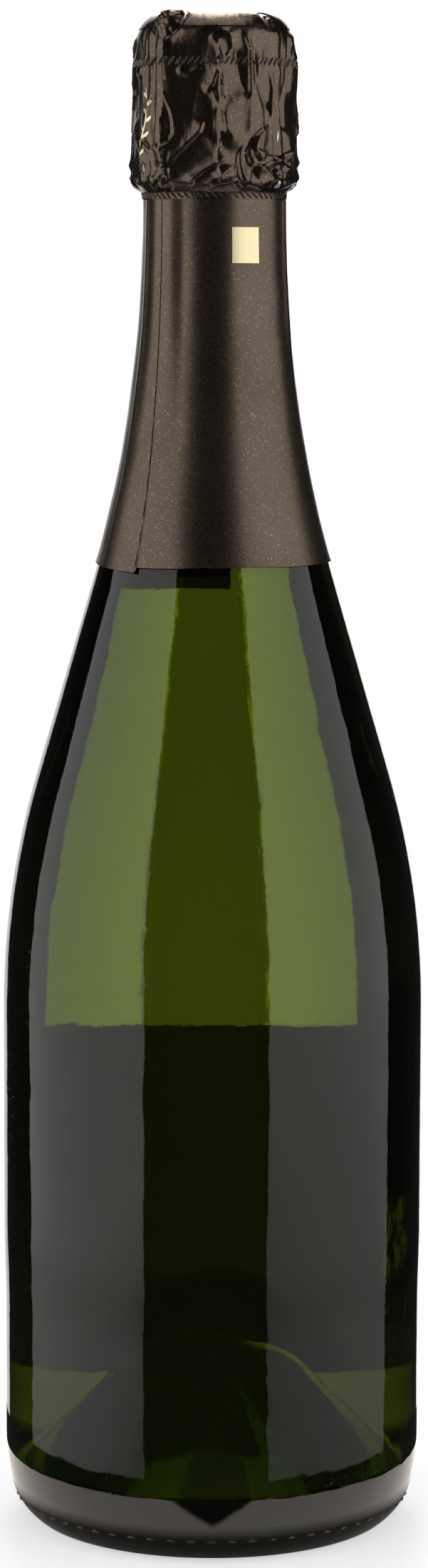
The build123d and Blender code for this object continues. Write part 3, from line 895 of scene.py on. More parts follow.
# What bulges the foil: the cage's legs and pull ring, and lugs of a reach, a height and a size.
# A leg's ridge has the heights where it starts, is full, fades and ends, its lift with what its twisted foot
# adds, the start and end of its flank, and the heights between which the twist ends.
# A bulge of the pull ring has its half width, half height, level, lift and the end of its slope.
LEGS = (-40.0, 50.0, 140.0, -130.0)
LEG_SPAN = (279.5, 282.5, 313.5, 315.5)
LEG_LIFT = (0.45, 0.3)
LEG_FLANK = (0.7, 2.2)
LEG_TWISTED = (289, 297)
RING = 22.0
RING_BULGES = [(4.9, 6.2, 293.4, 0.75, 1.3), (1.6, 4.5, 285.5, 0.9, 1.2)]
FIRST_LUG = (13.1, 312.9, 3.5)
OTHER_LUG = (12.4, 312.4, 2.8)
FOOT_LUG = (16.3, 283.2, 1.7)

# Folds of the head, seen from the front: depth, width on either side, and a line of directions and heights
FOLDS = [
    (0.20, 0.4, 1.8, [(-43.8, 310.5), (-44.2, 301.8), (-43.5, 289.0)]),
    (0.50, 1.8, 0.35, [(-36.0, 309.8), (-37.3, 304.1), (-35.4, 299.0), (-31.1, 294.1), (-29.4, 291.0),
                       (-36.6, 287.6), (-37.9, 283.6)]),
    (0.45, 0.6, 0.6, [(-49.1, 289.0), (-39.2, 287.6), (-29.4, 289.3)]),
    (0.40, 0.5, 0.9, [(-39.2, 287.6), (-38.5, 283.3), (-36.6, 278.8)]),
    (0.75, 1.6, 0.35, [(4.2, 308.5), (5.6, 306.4), (5.6, 296.1), (8.5, 291.8), (15.6, 289.9)]),
    (-0.55, 1.0, 1.0, [(15.0, 308.9), (19.0, 302.4), (24.3, 297.8)]),
    (0.75, 0.9, 0.3, [(20.9, 312.0), (26.4, 308.1), (26.4, 298.4)]),
    (-0.50, 0.5, 0.9, [(28.5, 311.8), (29.7, 306.4), (32.0, 301.8), (35.6, 299.0), (40.7, 297.0),
                       (38.1, 293.3), (26.3, 290.4), (21.4, 287.3), (23.1, 285.3), (29.8, 282.5),
                       (41.0, 279.0)]),
    (0.55, 0.7, 0.7, [(42.4, 305.6), (45.9, 300.4), (44.5, 293.3)]),
    (0.60, 0.4, 1.5, [(23.1, 288.4), (46.6, 286.2), (67.1, 283.9)]),
    (0.50, 0.4, 1.2, [(22.0, 286.7), (29.8, 284.7), (45.2, 283.0), (67.1, 280.8)]),
    (0.55, 1.3, 0.4, [(-20.5, 280.6), (-7.9, 283.6), (11.4, 286.7)]),
    (0.30, 0.9, 0.5, [(-7.9, 279.9), (2.2, 282.5), (14.5, 284.2)]),
    (0.35, 0.9, 0.9, [(1.0, 281.8), (8.5, 283.9), (16.0, 284.6)]),
    (0.50, 0.8, 0.4, [(-5.9, 279.0), (2.2, 281.0), (17.7, 281.9), (34.6, 281.0), (41.0, 279.1)]),
    (0.60, 1.8, 0.5, [(-35.4, 284.2), (-23.7, 287.9), (-11.0, 291.6), (-6.9, 294.7)]),
    (0.45, 1.4, 0.5, [(-7.9, 299.0), (-1.8, 300.7), (4.2, 305.5)]),
    (0.40, 0.5, 1.0, [(-1.8, 300.1), (2.2, 297.8), (4.2, 296.1)]),
    (0.45, 0.4, 1.2, [(58.3, 292.4), (64.6, 290.4), (67.1, 287.9), (60.2, 285.3)]),
    (0.40, 0.8, 0.5, [(5.3, 312.0), (11.4, 310.9), (13.5, 308.1), (7.3, 306.4)]),
    (0.40, 1.3, 0.4, [(-3.8, 310.9), (2.2, 308.9), (5.6, 306.6)]),
    (0.45, 1.2, 0.6, [(-80.0, 304.6), (-68.7, 302.9), (-59.4, 304.1)]),
    (0.45, 0.5, 1.3, [(-59.4, 284.2), (-49.1, 282.2), (-40.2, 282.2)]),
]

# Random creases of the foil: scale, stretch upwards and seed, with a depth first for those on the lugs, then
# the fine ones' share of the depth, how the noise is warped, and how sharp a crease is
CREASES = (0.15, 2.4, 3.1)
FINE_CREASES = (0.42, 1.8, 11.7)
LUG_CREASES = (0.35, 0.9, 1.0, 7.3)
FINE_SHARE = 0.16
WARP = (0.7, 0.9)
SHARPNESS = 2.4

# Heights between which the head's relief fades: over its crown, over its edge, on the belt that is drawn
# flat, with what that belt adds, and at the hem, where a least share stays
SIDE_END = (311.5, 314.5)
EDGE_SPAN = (278.8, 281.0)
BELT_SPAN = (279.5, 284.5, 308.0, 312.5)
SLACK = 0.2
HEM_SPAN = (278.2, 280.2)
HEM_LEAST = 0.12

# A calm facet with fewer creases: its directions, its heights, and the share of the creases that it loses
CALM_AROUND = (-40, -33, -3, 3)
CALM_UP = (284, 289)
CALM = 0.75

# The moat round a lug: its depth, its distance as a share of the lug's size, and its width
MOAT = (0.35, 1.08, 0.5)

# Where the folds are laid round the head, each turned and some mirrored, the posts between which the foil is
# drawn flat, how far each flat leans, and how far the posts sway, with height and from one to the next
COPIES = [(0.0, 1), (96.0, -1), (187.0, 1), (272.0, -1)]
POSTS = [-62.0, -37.0, 4.5, 34.0, 64.0, 92.0, 118.0, 150.0, 179.0, 212.0, 243.0, 271.0]
LEANS = [0.0, -1.1, 0.3, -0.3, 0.35, -0.4, 0.3, -0.5, 0.4, -0.3, 0.3, -0.2]
POST_SWAY = (2.0, 0.31, 1.9)

# The collar: the direction of its seam's edge at the top, how much further round the edge lies at the foot,
# and the finer columns near it. Its lap and its welt start, are full, fade and end at degrees from that edge.
# Its hem flares, waves and slants, and each soft ridge has a direction, a width and a height. The whole is a
# little uneven: pairs of a scale and a depth.
COLLAR_ROWS = 120
SEAM_EDGE = -43.0
SEAM_LEAN = 3.0
SEAM_NEAR = (-46.0, -33.0, 0.2)
LAP_SPAN = (0.0, 0.4, 25, 32)
LAP_STEP = 0.16
LAP_LIFT = 0.30
LAP_FADE = 14
HEM_FLARE = (0.18, 1.5)
HEM_WAVE = 0.25
HEM_SLANT = ((-36, -0.3, 0.3, 52), (0.0, 0.5, 1.5, 0.0))
WELT = 0.85
WELT_SPAN = (-19, -3, 2, 26)
RIDGES = [(76.0, 5.5, 0.50), (-66.0, 4.0, 0.24)]
UNEVEN = [(1.0, 0.10), (3.1, 0.05)]
COLLAR_GAP = 0.05


def head_line():
    """The head's meridian from the lower tear line to the axis: radius, height and the direction outwards."""
    side = rounded(HEAD_LINE, HEAD_ROUNDS)
    crown = arc(((HEAD_NARROW - CROWN_ARC) * MM, CROWN_LEVEL * MM), CROWN_ARC * MM, 0, 90)
    line = np.array(joined(side, crown, [(0.0, (CROWN_LEVEL + CROWN_ARC) * MM)])) / MM
    run = np.concatenate([[0], np.cumsum(np.linalg.norm(np.diff(line, axis=0), axis=1))])
    places = np.linspace(0, run[-1], round(run[-1] / HEAD_STEP) + 1)
    tear = np.interp(TEAR_HIGH, line[:, 1], run)
    places[np.argmin(abs(places - tear))] = tear
    points = np.stack([np.interp(places, run, line[:, 0]), np.interp(places, run, line[:, 1])], axis=1)
    along = np.gradient(points, axis=0)
    along /= np.linalg.norm(along, axis=1)[:, None]
    return points, np.stack([along[:, 1], -along[:, 0]], axis=1)


def smooth_step(value, low, high):
    share = np.clip((value - low) / (high - low), 0, 1)
    return share * share * (3 - 2 * share)


def between(value, start, full, fade, end):
    """A share that rises from nothing to one, and falls back to nothing."""
    return smooth_step(value, start, full) * (1 - smooth_step(value, fade, end))


def nearest_on(line, across, up):
    """Distance from a line, the side it lies on and how far along it, for many places at once."""
    best = np.full(across.shape, 1e9)
    side = np.zeros(across.shape)
    share = np.zeros(across.shape)
    lengths = [math.dist(a, b) for a, b in zip(line, line[1:])]
    done = 0.0
    for (ax, ay), (bx, by), length in zip(line, line[1:], lengths):
        dx, dy = bx - ax, by - ay
        along = np.clip(((across - ax) * dx + (up - ay) * dy) / length ** 2, 0, 1)
        ox, oy = across - ax - along * dx, up - ay - along * dy
        away = np.hypot(ox, oy)
        closer = away < best
        best = np.where(closer, away, best)
        side = np.where(closer, np.sign(dx * oy - dy * ox), side)
        share = np.where(closer, (done + along * length) / sum(lengths), share)
        done += length
    return best, side, share


def stretched(bearing, height):
    """How far the foil falls inside its round where it is drawn flat between its posts, as a share."""
    posts = [*POSTS, POSTS[0] + 360]
    far, upwards, onwards = POST_SWAY
    sway = [far * np.sin(height * upwards + onwards * (rank % len(POSTS))) for rank in range(len(posts))]
    fall = np.zeros(bearing.shape)
    for rank, lean in enumerate(LEANS):
        low, high = posts[rank] + sway[rank], posts[rank + 1] + sway[rank + 1]
        off = folded(bearing - (low + high) / 2)
        half = (high - low) / 2
        chord = np.cos(np.radians(half)) / np.cos(np.radians(np.clip(off, -60, 60))) - 1
        chord += lean * off / half / 2 / HEAD_NARROW
        fall = np.where(np.abs(off) <= half, chord, fall)
    return fall


def folds_depth(bearing, height):
    """How far the drawn folds push the foil out."""
    depth = np.zeros(bearing.shape)
    for start, way in COPIES:
        across = np.radians(folded(bearing - start) * way) * HEAD_REACH
        for lift, left, right, line in FOLDS:
            line = [(math.radians(azimuth) * HEAD_REACH, level) for azimuth, level in line]
            away, side, share = nearest_on(line, across, height)
            width = np.where(side > 0, left, right)
            fade = smooth_step(share, -0.02, 0.18) * smooth_step(1 - share, -0.02, 0.18)
            depth += lift * fade * np.exp(-(away / width) ** 1.4)
    return depth


def ball_depth(points, outward, middle, radius):
    """How far along the outward direction a ball reaches, or less than nothing."""
    gap = middle - points
    along = np.sum(gap * outward, axis=-1)
    off = np.sum(gap * gap, axis=-1) - along ** 2
    return np.where(off < radius ** 2, along + np.sqrt(np.maximum(radius ** 2 - off, 0)), -1.0)


def crumple(points, depth, scale, stretch, seed):
    """Random sharp creases, longer upwards than across, in the units of the points."""
    found = np.zeros(points.shape[:-1])
    for index in np.ndindex(found.shape):
        x, y, z = points[index]
        spot = Vector((x * scale + seed, y * scale, z * scale / stretch))
        warp = noise.noise(spot * WARP[0]) * WARP[1]
        level = noise.noise(spot + Vector((warp, -warp, warp)))
        found[index] = (1 - min(1.0, abs(level) * SHARPNESS)) - 0.5
    return found * depth


def turned_round(pairs, azimuths):
    """Pairs of a reach and a rise, each turned to every direction: rows of places."""
    angle = np.radians(azimuths)
    reach, rise = pairs[:, :1], pairs[:, 1:]
    return np.stack([reach * np.sin(angle), -reach * np.cos(angle), rise + 0 * angle], axis=-1)


def cage_relief(bearing, height, radius):
    """How far the cage's legs and its folded pull ring push the foil out."""
    relief = np.zeros(height.shape)
    tall = LEG_LIFT[0] + LEG_LIFT[1] * (1 - smooth_step(height, *LEG_TWISTED))
    for leg in LEGS:
        off = np.radians(np.abs(folded(bearing - leg))) * radius
        ridge = tall * between(height, *LEG_SPAN) * (1 - smooth_step(off, *LEG_FLANK))
        relief = np.maximum(relief, ridge)
    pad = np.radians(folded(bearing - RING)) * radius
    for wide, high, level, lift, end in RING_BULGES:
        away = np.hypot(pad / wide, (height - level) / high)
        relief = np.maximum(relief, lift * (1 - smooth_step(away, 0.7, end)))
    return relief


def head_points(azimuths, points, outward, lift, depth):
    """Places on the crumpled head, with rows along the meridian and columns round it."""
    base = turned_round(points, azimuths)
    normal = turned_round(outward, azimuths)
    height = base[..., 2]
    radius = np.broadcast_to(points[:, :1], height.shape)
    bearing = np.broadcast_to(azimuths, height.shape)
    side = 1 - smooth_step(height, *SIDE_END)
    edge = smooth_step(height, *EDGE_SPAN)
    belt = between(height, *BELT_SPAN)
    calm = between(bearing, *CALM_AROUND) * smooth_step(height, *CALM_UP)
    depth = depth * (1 - CALM * calm) * (0.3 + 0.7 * edge)
    relief = cage_relief(bearing, height, radius)
    relief += (stretched(bearing, height) * radius + SLACK) * belt
    relief += folds_depth(bearing, height) * side * (0.25 + 0.75 * edge)
    relief += crumple(base, depth, *CREASES) * (0.35 + 0.65 * side)
    relief += crumple(base, depth * FINE_SHARE, *FINE_CREASES)
    for leg in LEGS:
        for reach, level, ball in (FIRST_LUG if leg == LEGS[0] else OTHER_LUG, FOOT_LUG):
            middle = np.array(on_axis(math.radians(leg), reach, level))
            away = np.linalg.norm(base - middle, axis=-1)
            relief -= MOAT[0] * np.exp(-((away - ball * MOAT[1]) / MOAT[2]) ** 2)
            relief = np.maximum(relief, ball_depth(base, normal, middle, ball))
            near = away < ball
            relief[near] += crumple(base[near], *LUG_CREASES)
    hem = np.maximum(smooth_step(height, *HEM_SPAN), HEM_LEAST)
    return (base + normal * (relief * hem + lift)[..., None]) * MM


def head_piece(name, inside, columns, lift, foil):
    """The part of the crumpled head that a test of radius and height keeps."""
    points, outward = head_line()
    keep = np.array([inside(radius, height) for radius, height in points])
    azimuths = np.linspace(0, 360, columns, endpoint=False)
    rows = list(head_points(azimuths, points[keep], outward[keep], lift, foil.crumple / MM))
    if points[keep][-1][0] < NEAR:
        rows[-1] = rows[-1][-1:]
    return thickened(lofted(name, rows), foil.thickness)


def collar_point(foil, wall, bearing, share):
    """A place on the collar, from its direction in degrees and its share of the way up."""
    azimuth = math.radians(bearing)
    east, north = math.sin(azimuth), math.cos(azimuth)
    off = SEAM_EDGE + SEAM_LEAN * (1 - share) - bearing
    slant = np.interp(off, *HEM_SLANT)
    wave = noise.noise(Vector((east * 3, north * 3, 1.7)))
    low = foil.collar_hem + (HEM_WAVE * wave - slant) * MM
    height = low + (foil.tear_low - COLLAR_GAP * MM - low) * share
    rise = (height - low) / MM
    lap = between(off, *LAP_SPAN)
    relief = LAP_STEP * lap + HEM_FLARE[0] * math.exp(-rise / HEM_FLARE[1])
    relief += LAP_LIFT * lap * (1 - smooth_step(off, 0, 6)) * math.exp(-rise / LAP_FADE)
    relief += WELT * between(off, *WELT_SPAN) * smooth_step(share, 0.1, 0.75)
    for middle, width, tall in RIDGES:
        relief += tall * math.exp(-((bearing - middle) / width) ** 2) * smooth_step(share, 0.3, 0.8)
    spot = Vector((east * 1.1, north * 1.1, height * 60))
    relief += sum(noise.noise(spot * scale) * depth for scale, depth in UNEVEN)
    radius = np.interp(height, wall[:, 1], wall[:, 0])
    return on_axis(azimuth, radius + relief * MM, height)


class BOTTLE_OT_collar(bpy.types.Operator):
    """The foil sleeve on the neck, with its lapped seam and its hem"""

    bl_idname = "bottle.collar"
    bl_label = "Foil collar"

    def execute(self, context):
        foil = context.scene.bottle_foil
        wall = np.array(outer_wall(context.scene.bottle_glass, foil.stand))
        bearings = sorted({*range(-180, 180), *np.arange(*SEAM_NEAR).round(2).tolist()})
        rows = []
        for share in np.linspace(0, 1, COLLAR_ROWS):
            rows.append([collar_point(foil, wall, bearing, share) for bearing in bearings])
        piece = thickened(lofted("collar", rows), foil.thickness)
        material = foil_finish("collar foil", shade(foil.tint, 0.86), 0.29, 0.00003)
        dressed(piece, "bottle", "bronze_foil", material, "foil_collar")
        return {"FINISHED"}


class BOTTLE_OT_head(bpy.types.Operator):
    """The crumpled foil head: the tear band, the cap over it and the disc on top"""

    bl_idname = "bottle.head"
    bl_label = "Foil head"

    def execute(self, context):
        foil = context.scene.bottle_foil
        material = foil_finish("head foil", shade(foil.tint, 0.8), 0.22, 0.00004)

        def in_band(radius, height):
            return height < TEAR_HIGH + NEAR

        def in_cap(radius, height):
            return height > TEAR_HIGH - NEAR and radius > CAP_EDGE

        def in_disc(radius, height):
            return height > DISC_HEM

        band = head_piece("tear_band", in_band, HEAD_COLUMNS, 0.0, foil)
        cap = head_piece("top_cap", in_cap, HEAD_COLUMNS, 0.0, foil)
        disc = head_piece("top_disc", in_disc, DISC_COLUMNS, DISC_STAND, foil)
        for piece, node in ((band, "foil_tear_band"), (cap, "foil_top_cap"), (disc, "foil_top_disc")):
            dressed(piece, "hood", "bronze_foil", material, node)
        # Painted shade for the inside of every slit
        cut = slit_shadow_finish()
        seed = slit_seed(foil.slit_length, foil.slit_width)
        upper = ("slits_upper", foil.slits, TEAR_HIGH - SLITS_HIGH[0], SLITS_HIGH[1])
        lower = ("slits_lower", foil.slits - SLITS_FEWER, *SLITS_LOW)
        for name, number, level, lean in (upper, lower):
            row = slit_row(name, seed, (band, cap), number, level * MM, math.radians(lean), material, cut)
            ridden(row, "hood")
        bpy.data.objects.remove(seed)
        return {"FINISHED"}


# Gold leaf and labels

# The gold rectangle: its heights, width and direction, and how far it stands over the foil
LEAF = 0.05 * MM
PATCH_SPAN = (265.0 * MM, 272.3 * MM)
PATCH_WIDTH = 6.0 * MM
PATCH_AZIMUTH = 25.8
PATCH_STAND = 0.12 * MM
PATCH_COLUMNS = 24

# The sprig in millimetres: its stem's length, width and bend, and its leaves' number, gaps, size and leans
STEM_LENGTH = 17.0
STEM_HALF = 0.11
STEM_BEND = (0.5, 0.42)
STEM_STEPS = 24
LEAVES = 9
LEAF_FOOT = -6.6
LEAF_GAP = 1.65
LEAF_SIZE = (2.3, 0.1)
LEAF_HALF = 0.34
LEAF_LEANS = (138, 42)
LEAF_SIDES = 16
SPRIG_AZIMUTH = -58
SPRIG_LEVEL = 292.0
SPRIG_REACH = 16.8
SPRIG_LIFT = 0.07 * MM

# The paper, and how far the two labels stand over the glass and over the foil
PAPER = 0.15 * MM
FRONT_STAND = 0.05 * MM
NECK_STAND = 0.2 * MM
FRONT_COLUMNS = 140
NECK_COLUMNS = 60


def stem_at(up):
    """A point of the sprig's bent stem."""
    return (STEM_BEND[0] * math.sin(up * STEM_BEND[1]), up)


def sprig_shapes():
    """A plain leafy stem drawn flat: outlines across and up, each a closed ring of points, clockwise."""
    stem = [stem_at(STEM_LENGTH * (step / STEM_STEPS - 0.5)) for step in range(STEM_STEPS + 1)]
    shapes = [[(x - STEM_HALF, z) for x, z in stem] + [(x + STEM_HALF, z) for x, z in reversed(stem)]]
    for rank in range(LEAVES):
        root = stem_at(LEAF_FOOT + LEAF_GAP * rank)
        lean = math.radians(LEAF_LEANS[rank % 2])
        leaf = []
        for around in evenly(LEAF_SIDES):
            along = (LEAF_SIZE[0] - LEAF_SIZE[1] * rank) * (1 - math.cos(around)) / 2
            wide = LEAF_HALF * math.sin(around)
            leaf.append((root[0] + along * math.cos(lean) - wide * math.sin(lean),
                         root[1] + along * math.sin(lean) + wide * math.cos(lean)))
        shapes.append(leaf)
    return shapes


def sprig(ground):
    """The sprig laid on a piece of foil: each point is dropped on it from outside."""
    points, faces = [], []
    for shape in sprig_shapes():
        start = len(points)
        for across, up in shape:
            azimuth = math.radians(SPRIG_AZIMUTH) + across / SPRIG_REACH
            outside = Vector(on_axis(azimuth, RAY_START, (SPRIG_LEVEL + up) * MM))
            way = Vector(on_axis(azimuth, -1.0, 0.0))
            points.append(ground.ray_cast(outside, way)[1] - way * SPRIG_LIFT)
        stop = len(points) - 1
        for rank in range(len(shape) // 2 - 1):
            faces.append((stop - rank, stop - rank - 1, start + rank + 1, start + rank))
    mesh = bpy.data.meshes.new("gold_sprig")
    mesh.from_pydata(points, [], faces)
    return thickened(finished(mesh, "gold_sprig"), LEAF)


def wrapped(glass, name, stand, thickness, low, high, middle, angle, columns):
    """A thin sheet that lies round the glass: between two heights and over an angle."""
    wall = np.array(outer_wall(glass, stand))
    rows = []
    for height in np.linspace(low, high, max(2, math.ceil((high - low) / RUN_STEP) + 1)):
        radius = np.interp(height, wall[:, 1], wall[:, 0]) + thickness
        shares = np.linspace(-0.5, 0.5, columns + 1)
        rows.append([on_axis(middle + angle * share, radius, height) for share in shares])
    return thickened(lofted(name, rows, closed=False), thickness)


class BOTTLE_OT_gold(bpy.types.Operator):
    """The gold leaf: a small rectangle on the collar and a plain sprig on the head"""

    bl_idname = "bottle.gold"
    bl_label = "Gold leaf"

    def execute(self, context):
        glass = context.scene.bottle_glass
        foil = context.scene.bottle_foil
        angle = PATCH_WIDTH / (glass.neck_radius + foil.stand)
        patch = wrapped(glass, "gold_leaf", foil.stand + PATCH_STAND, LEAF, *PATCH_SPAN,
                        math.radians(PATCH_AZIMUTH), angle, PATCH_COLUMNS)
        leaf = leaf_finish()
        dressed(patch, "bottle", "gold_leaf", leaf, "gold_patch")
        dressed(sprig(bpy.data.objects["tear_band"]), "hood", "gold_leaf", leaf)
        return {"FINISHED"}


class BOTTLE_OT_labels(bpy.types.Operator):
    """The two blank labels on the far side, of near-black paper: painted shade on their backs seen through
    the glass
    """

    bl_idname = "bottle.labels"
    bl_label = "Labels"

    def execute(self, context):
        glass = context.scene.bottle_glass
        foil = context.scene.bottle_foil
        label = context.scene.bottle_label
        paper = paper_finish(label.paper)
        front = wrapped(glass, "label_front", FRONT_STAND, PAPER, label.front_low, label.front_high,
                        label.front_azimuth, label.front_angle, FRONT_COLUMNS)
        neck = wrapped(glass, "label_neck", foil.stand + NECK_STAND, PAPER, label.neck_low, label.neck_high,
                       label.neck_azimuth, label.neck_angle, NECK_COLUMNS)
        dressed(front, "bottle", "label_paper", paper, "front_label")
        dressed(neck, "bottle", "label_paper", paper, "neck_label")
        return {"FINISHED"}


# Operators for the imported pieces


class BOTTLE_OT_stopper(bpy.types.Operator):
    """The cork under the foil, in its two kinds of cork"""

    bl_idname = "bottle.stopper"
    bl_label = "Cork"

    def execute(self, context):
        pressed = cork_finish("pressed cork", False)
        natural = cork_finish("natural cork", True)
        painted(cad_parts["cork_body"], pressed)
        painted(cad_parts["cork_disc_lower"], natural)
        painted(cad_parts["cork_disc_upper"], natural)
        return {"FINISHED"}


class BOTTLE_OT_cage(bpy.types.Operator):
    """The wire cage and the plaque under it"""

    bl_idname = "bottle.cage"
    bl_label = "Wire cage"

    def execute(self, context):
        wire = wire_finish()
        for name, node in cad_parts.items():
            if name.startswith("cage_") and name != "cage_plaque":
                painted(node, wire)
        painted(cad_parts["cage_plaque"], plaque_finish())
        return {"FINISHED"}


# The stage: directions in degrees from the camera's side, and metres

CAMERA_PLACE = (0.0, -0.870, 0.257)
CAMERA_DIP = 6.604
CAMERA_ROLL = -0.12
LENS = 95.486
SENSOR = 36.0
FLOOR_HALF = 4.0

# Dark flags that darken what shows through the glass at its sides, and the dark tent that the glass mirrors:
# the middles of the cards, their half width, distance, foot and top
FLAGS = ((-151.7, -128, 146, 122), 12, 0.32, 0.0, 0.6)
TENT = (range(-145, 160, 20), 10.1, 1.3, -2.4, 2.6)
FLAG_SHADE = 0.03
TENT_SHADE = 0.02

# Bright cards beside the backdrop: middle, half width, distance, foot and top
BRIGHT_CARDS = ((180 - 14.15, 7.95, 0.3, 0.0, 0.5), (180 + 10.75, 5.95, 0.3, 0.0, 0.5))

# The soft boxes: name, the two directions between which each one lies, and the height of its full strength,
# then their distance, foot and top, and the height and share of their least strength. The back light has its
# directions, distance, foot and top, and how far it looks down.
SOFT_BOXES = (("soft box left", -37, -117, -0.12), ("soft box right", 30, 110, 0.02))
SOFT_BOX_SPAN = (0.8, -0.6, 1.0)
DIM_FOOT = -0.30
DIM_SHARE = 0.3
BACK_LIGHT = (164, 196, 0.54, 0.41, 1.41)
BACK_LIGHT_DIP = 48

# The board's distances from the axis: where it fades to white, where the painted shade in its reflection is
# darkest, then gone, where the painted dark band of the reflection starts and where the reflection ends, and
# where the white seen through the glass rises out of a painted shadow under the bottle
BOARD_FADE = (0.14, 0.36)
MIRROR_DARK = 0.044
MIRROR_PALE = 0.052
MIRROR_RIM = 0.072
MIRROR_END = 0.1
THROUGH_FADE = (0.052, 0.075)

# A V of painted shade in the reflection, in front of the bottle: where its tip lies, how it widens and how
# soft it is
WEDGE_TIP = 0.055
WEDGE_SLOPE = 1.2
WEDGE_SOFT = 60.0

# The board's own glow as the camera sees it, the glow of the bright tabletop painted into its reflection and
# of the painted dark band round it, and how many times a distance is widened so that it fills a ramp
BOARD_GLOW = 0.52
PAINTED_TABLE_GLOW = 1.4
PAINTED_BAND_GLOW = 0.02
WIDENED = 10.0


def flat(name, panels):
    """Flat panels of four corners each, as one object."""
    mesh = bpy.data.meshes.new(name)
    faces = [tuple(range(4 * rank, 4 * rank + 4)) for rank in range(len(panels))]
    mesh.from_pydata([corner for panel in panels for corner in panel], [], faces)
    piece = finished(mesh, name, False)
    return piece


def card(name, panels, level, glow=0.0, glossy=True, transmission=False):
    """Flat cards of the stage, seen only by the kinds of ray that are named."""
    piece = flat(name, panels)
    finish = Finish(name + " cloth", Roughness=1.0, Base_Color=(level, level, level), Specular_IOR_Level=0.0)
    finish.set(Emission_Color=WHITE, Emission_Strength=glow)
    painted(piece, finish.material)
    piece.visible_camera = False
    piece.visible_diffuse = False
    piece.visible_glossy = glossy
    piece.visible_transmission = transmission
    piece.visible_shadow = False


def upright(middle, half, distance, low, high):
    """Corners of an upright card at a distance, facing the bottle, over a span of directions."""
    turned = math.radians(middle)
    across = distance * math.tan(math.radians(half))
    out = Vector((math.sin(turned), -math.cos(turned), 0)) * distance
    along = Vector((math.cos(turned), math.sin(turned), 0)) * across
    return [tuple(out + along * side + Vector((0, 0, level))) for side, level in
            ((-1, low), (1, low), (1, high), (-1, high))]


def soft_box(name, start, stop, distance, low, high, radiance):
    """A soft light that spans the directions between two azimuths, and heights from low to high."""
    turned = math.radians((start + stop) / 2)
    light = bpy.data.lights.new(name, "AREA")
    light.shape = "RECTANGLE"
    light.size = 2 * distance * math.tan(math.radians(abs(stop - start) / 2))
    light.size_y = high - low
    light.energy = radiance * math.pi * light.size * light.size_y
    lamp = bpy.data.objects.new(name, light)
    bpy.context.scene.collection.objects.link(lamp)
    lamp.location = on_axis(turned, distance, (low + high) / 2)
    lamp.rotation_euler = (math.pi / 2, 0, turned)
    lamp.visible_camera = False
    return lamp


def dimmed(lamp, low, high, least):
    """Dims the lower part of a light: from its least share at one height to its full strength at another."""
    lamp.data.use_nodes = True
    nodes = Nodes(lamp.data.node_tree)
    height = nodes.parts(nodes.out("ShaderNodeNewGeometry", None, "Position"))["Z"]
    inputs = {"Value": height, "From Min": low, "From Max": high, "To Min": least, "To Max": 1.0}
    share = nodes.out("ShaderNodeMapRange", inputs, "Result")
    nodes.join(nodes.tree.nodes["Emission"].inputs["Strength"], share)


def board_finish():
    """A pale board that fades to white far off, whose reflection is a painted bright tabletop with painted
    shade.
    """
    finish = Finish("pale board", Roughness=0.6, Emission_Color=WHITE)
    finish.set(Base_Color=finish.ramp(finish.noise(30, 3.0), (0.3, 0.80), (0.7, 0.84)))
    finish.set(Normal=finish.bump(finish.noise(500), 0.0002, 0.2))
    rays = finish.add("ShaderNodeLightPath").outputs
    finish.set(Emission_Strength=finish.math("MULTIPLY", rays["Is Camera Ray"], BOARD_GLOW))
    away = finish.out("ShaderNodeVectorMath", {0: finish.place}, "Value", operation="LENGTH")
    fade = finish.ramp(away, (BOARD_FADE[0], 0.0), (BOARD_FADE[1], 1.0))
    board = finish.either(fade, finish.shader.outputs["BSDF"], finish.glow(WHITE, 1.0))

    # Painted shade on the painted tabletop: dark in a V in front of the bottle and dark close to it
    x, y = finish.parts(finish.place)[:2]
    ahead = finish.math("SUBTRACT", finish.math("MULTIPLY", y, -1.0), WEDGE_TIP)
    painted_shade_wedge = finish.math("SUBTRACT", finish.math("ABSOLUTE", x), finish.math("MULTIPLY", ahead, WEDGE_SLOPE))
    painted_table_light = finish.ramp(finish.math("MULTIPLY", painted_shade_wedge, WEDGE_SOFT), (0.0, 0.04), (0.25, 1.0))
    wide = finish.math("MULTIPLY", away, WIDENED)
    near = finish.ramp(wide, (MIRROR_DARK * WIDENED, 0.10), (MIRROR_PALE * WIDENED, 1.0))
    painted_table_light = finish.math("MULTIPLY", finish.math("MULTIPLY", painted_table_light, near), PAINTED_TABLE_GLOW)
    # Painted reflection: a warm bright tabletop, seen only by glossy rays
    painted_table = finish.glow((1.0, 0.93, 0.85), painted_table_light)
    # A painted dark band round the painted tabletop; beyond it the board is clear to glossy rays
    rim = finish.either(finish.math("GREATER_THAN", away, MIRROR_RIM), painted_table, finish.glow(WHITE, PAINTED_BAND_GLOW))
    clear = finish.out("ShaderNodeBsdfTransparent")
    painted_reflection = finish.either(finish.math("GREATER_THAN", away, MIRROR_END), rim, clear)

    # Painted shadow for rays through the glass: black under the bottle, rising to white further off
    through = finish.glow(WHITE, finish.ramp(away, (THROUGH_FADE[0], 0.0), (THROUGH_FADE[1], 1.0)))
    both = finish.either(rays["Is Glossy Ray"], board, painted_reflection)
    both = finish.either(rays["Is Transmission Ray"], both, through)
    finish.join(finish.output.inputs["Surface"], both)
    return finish.material


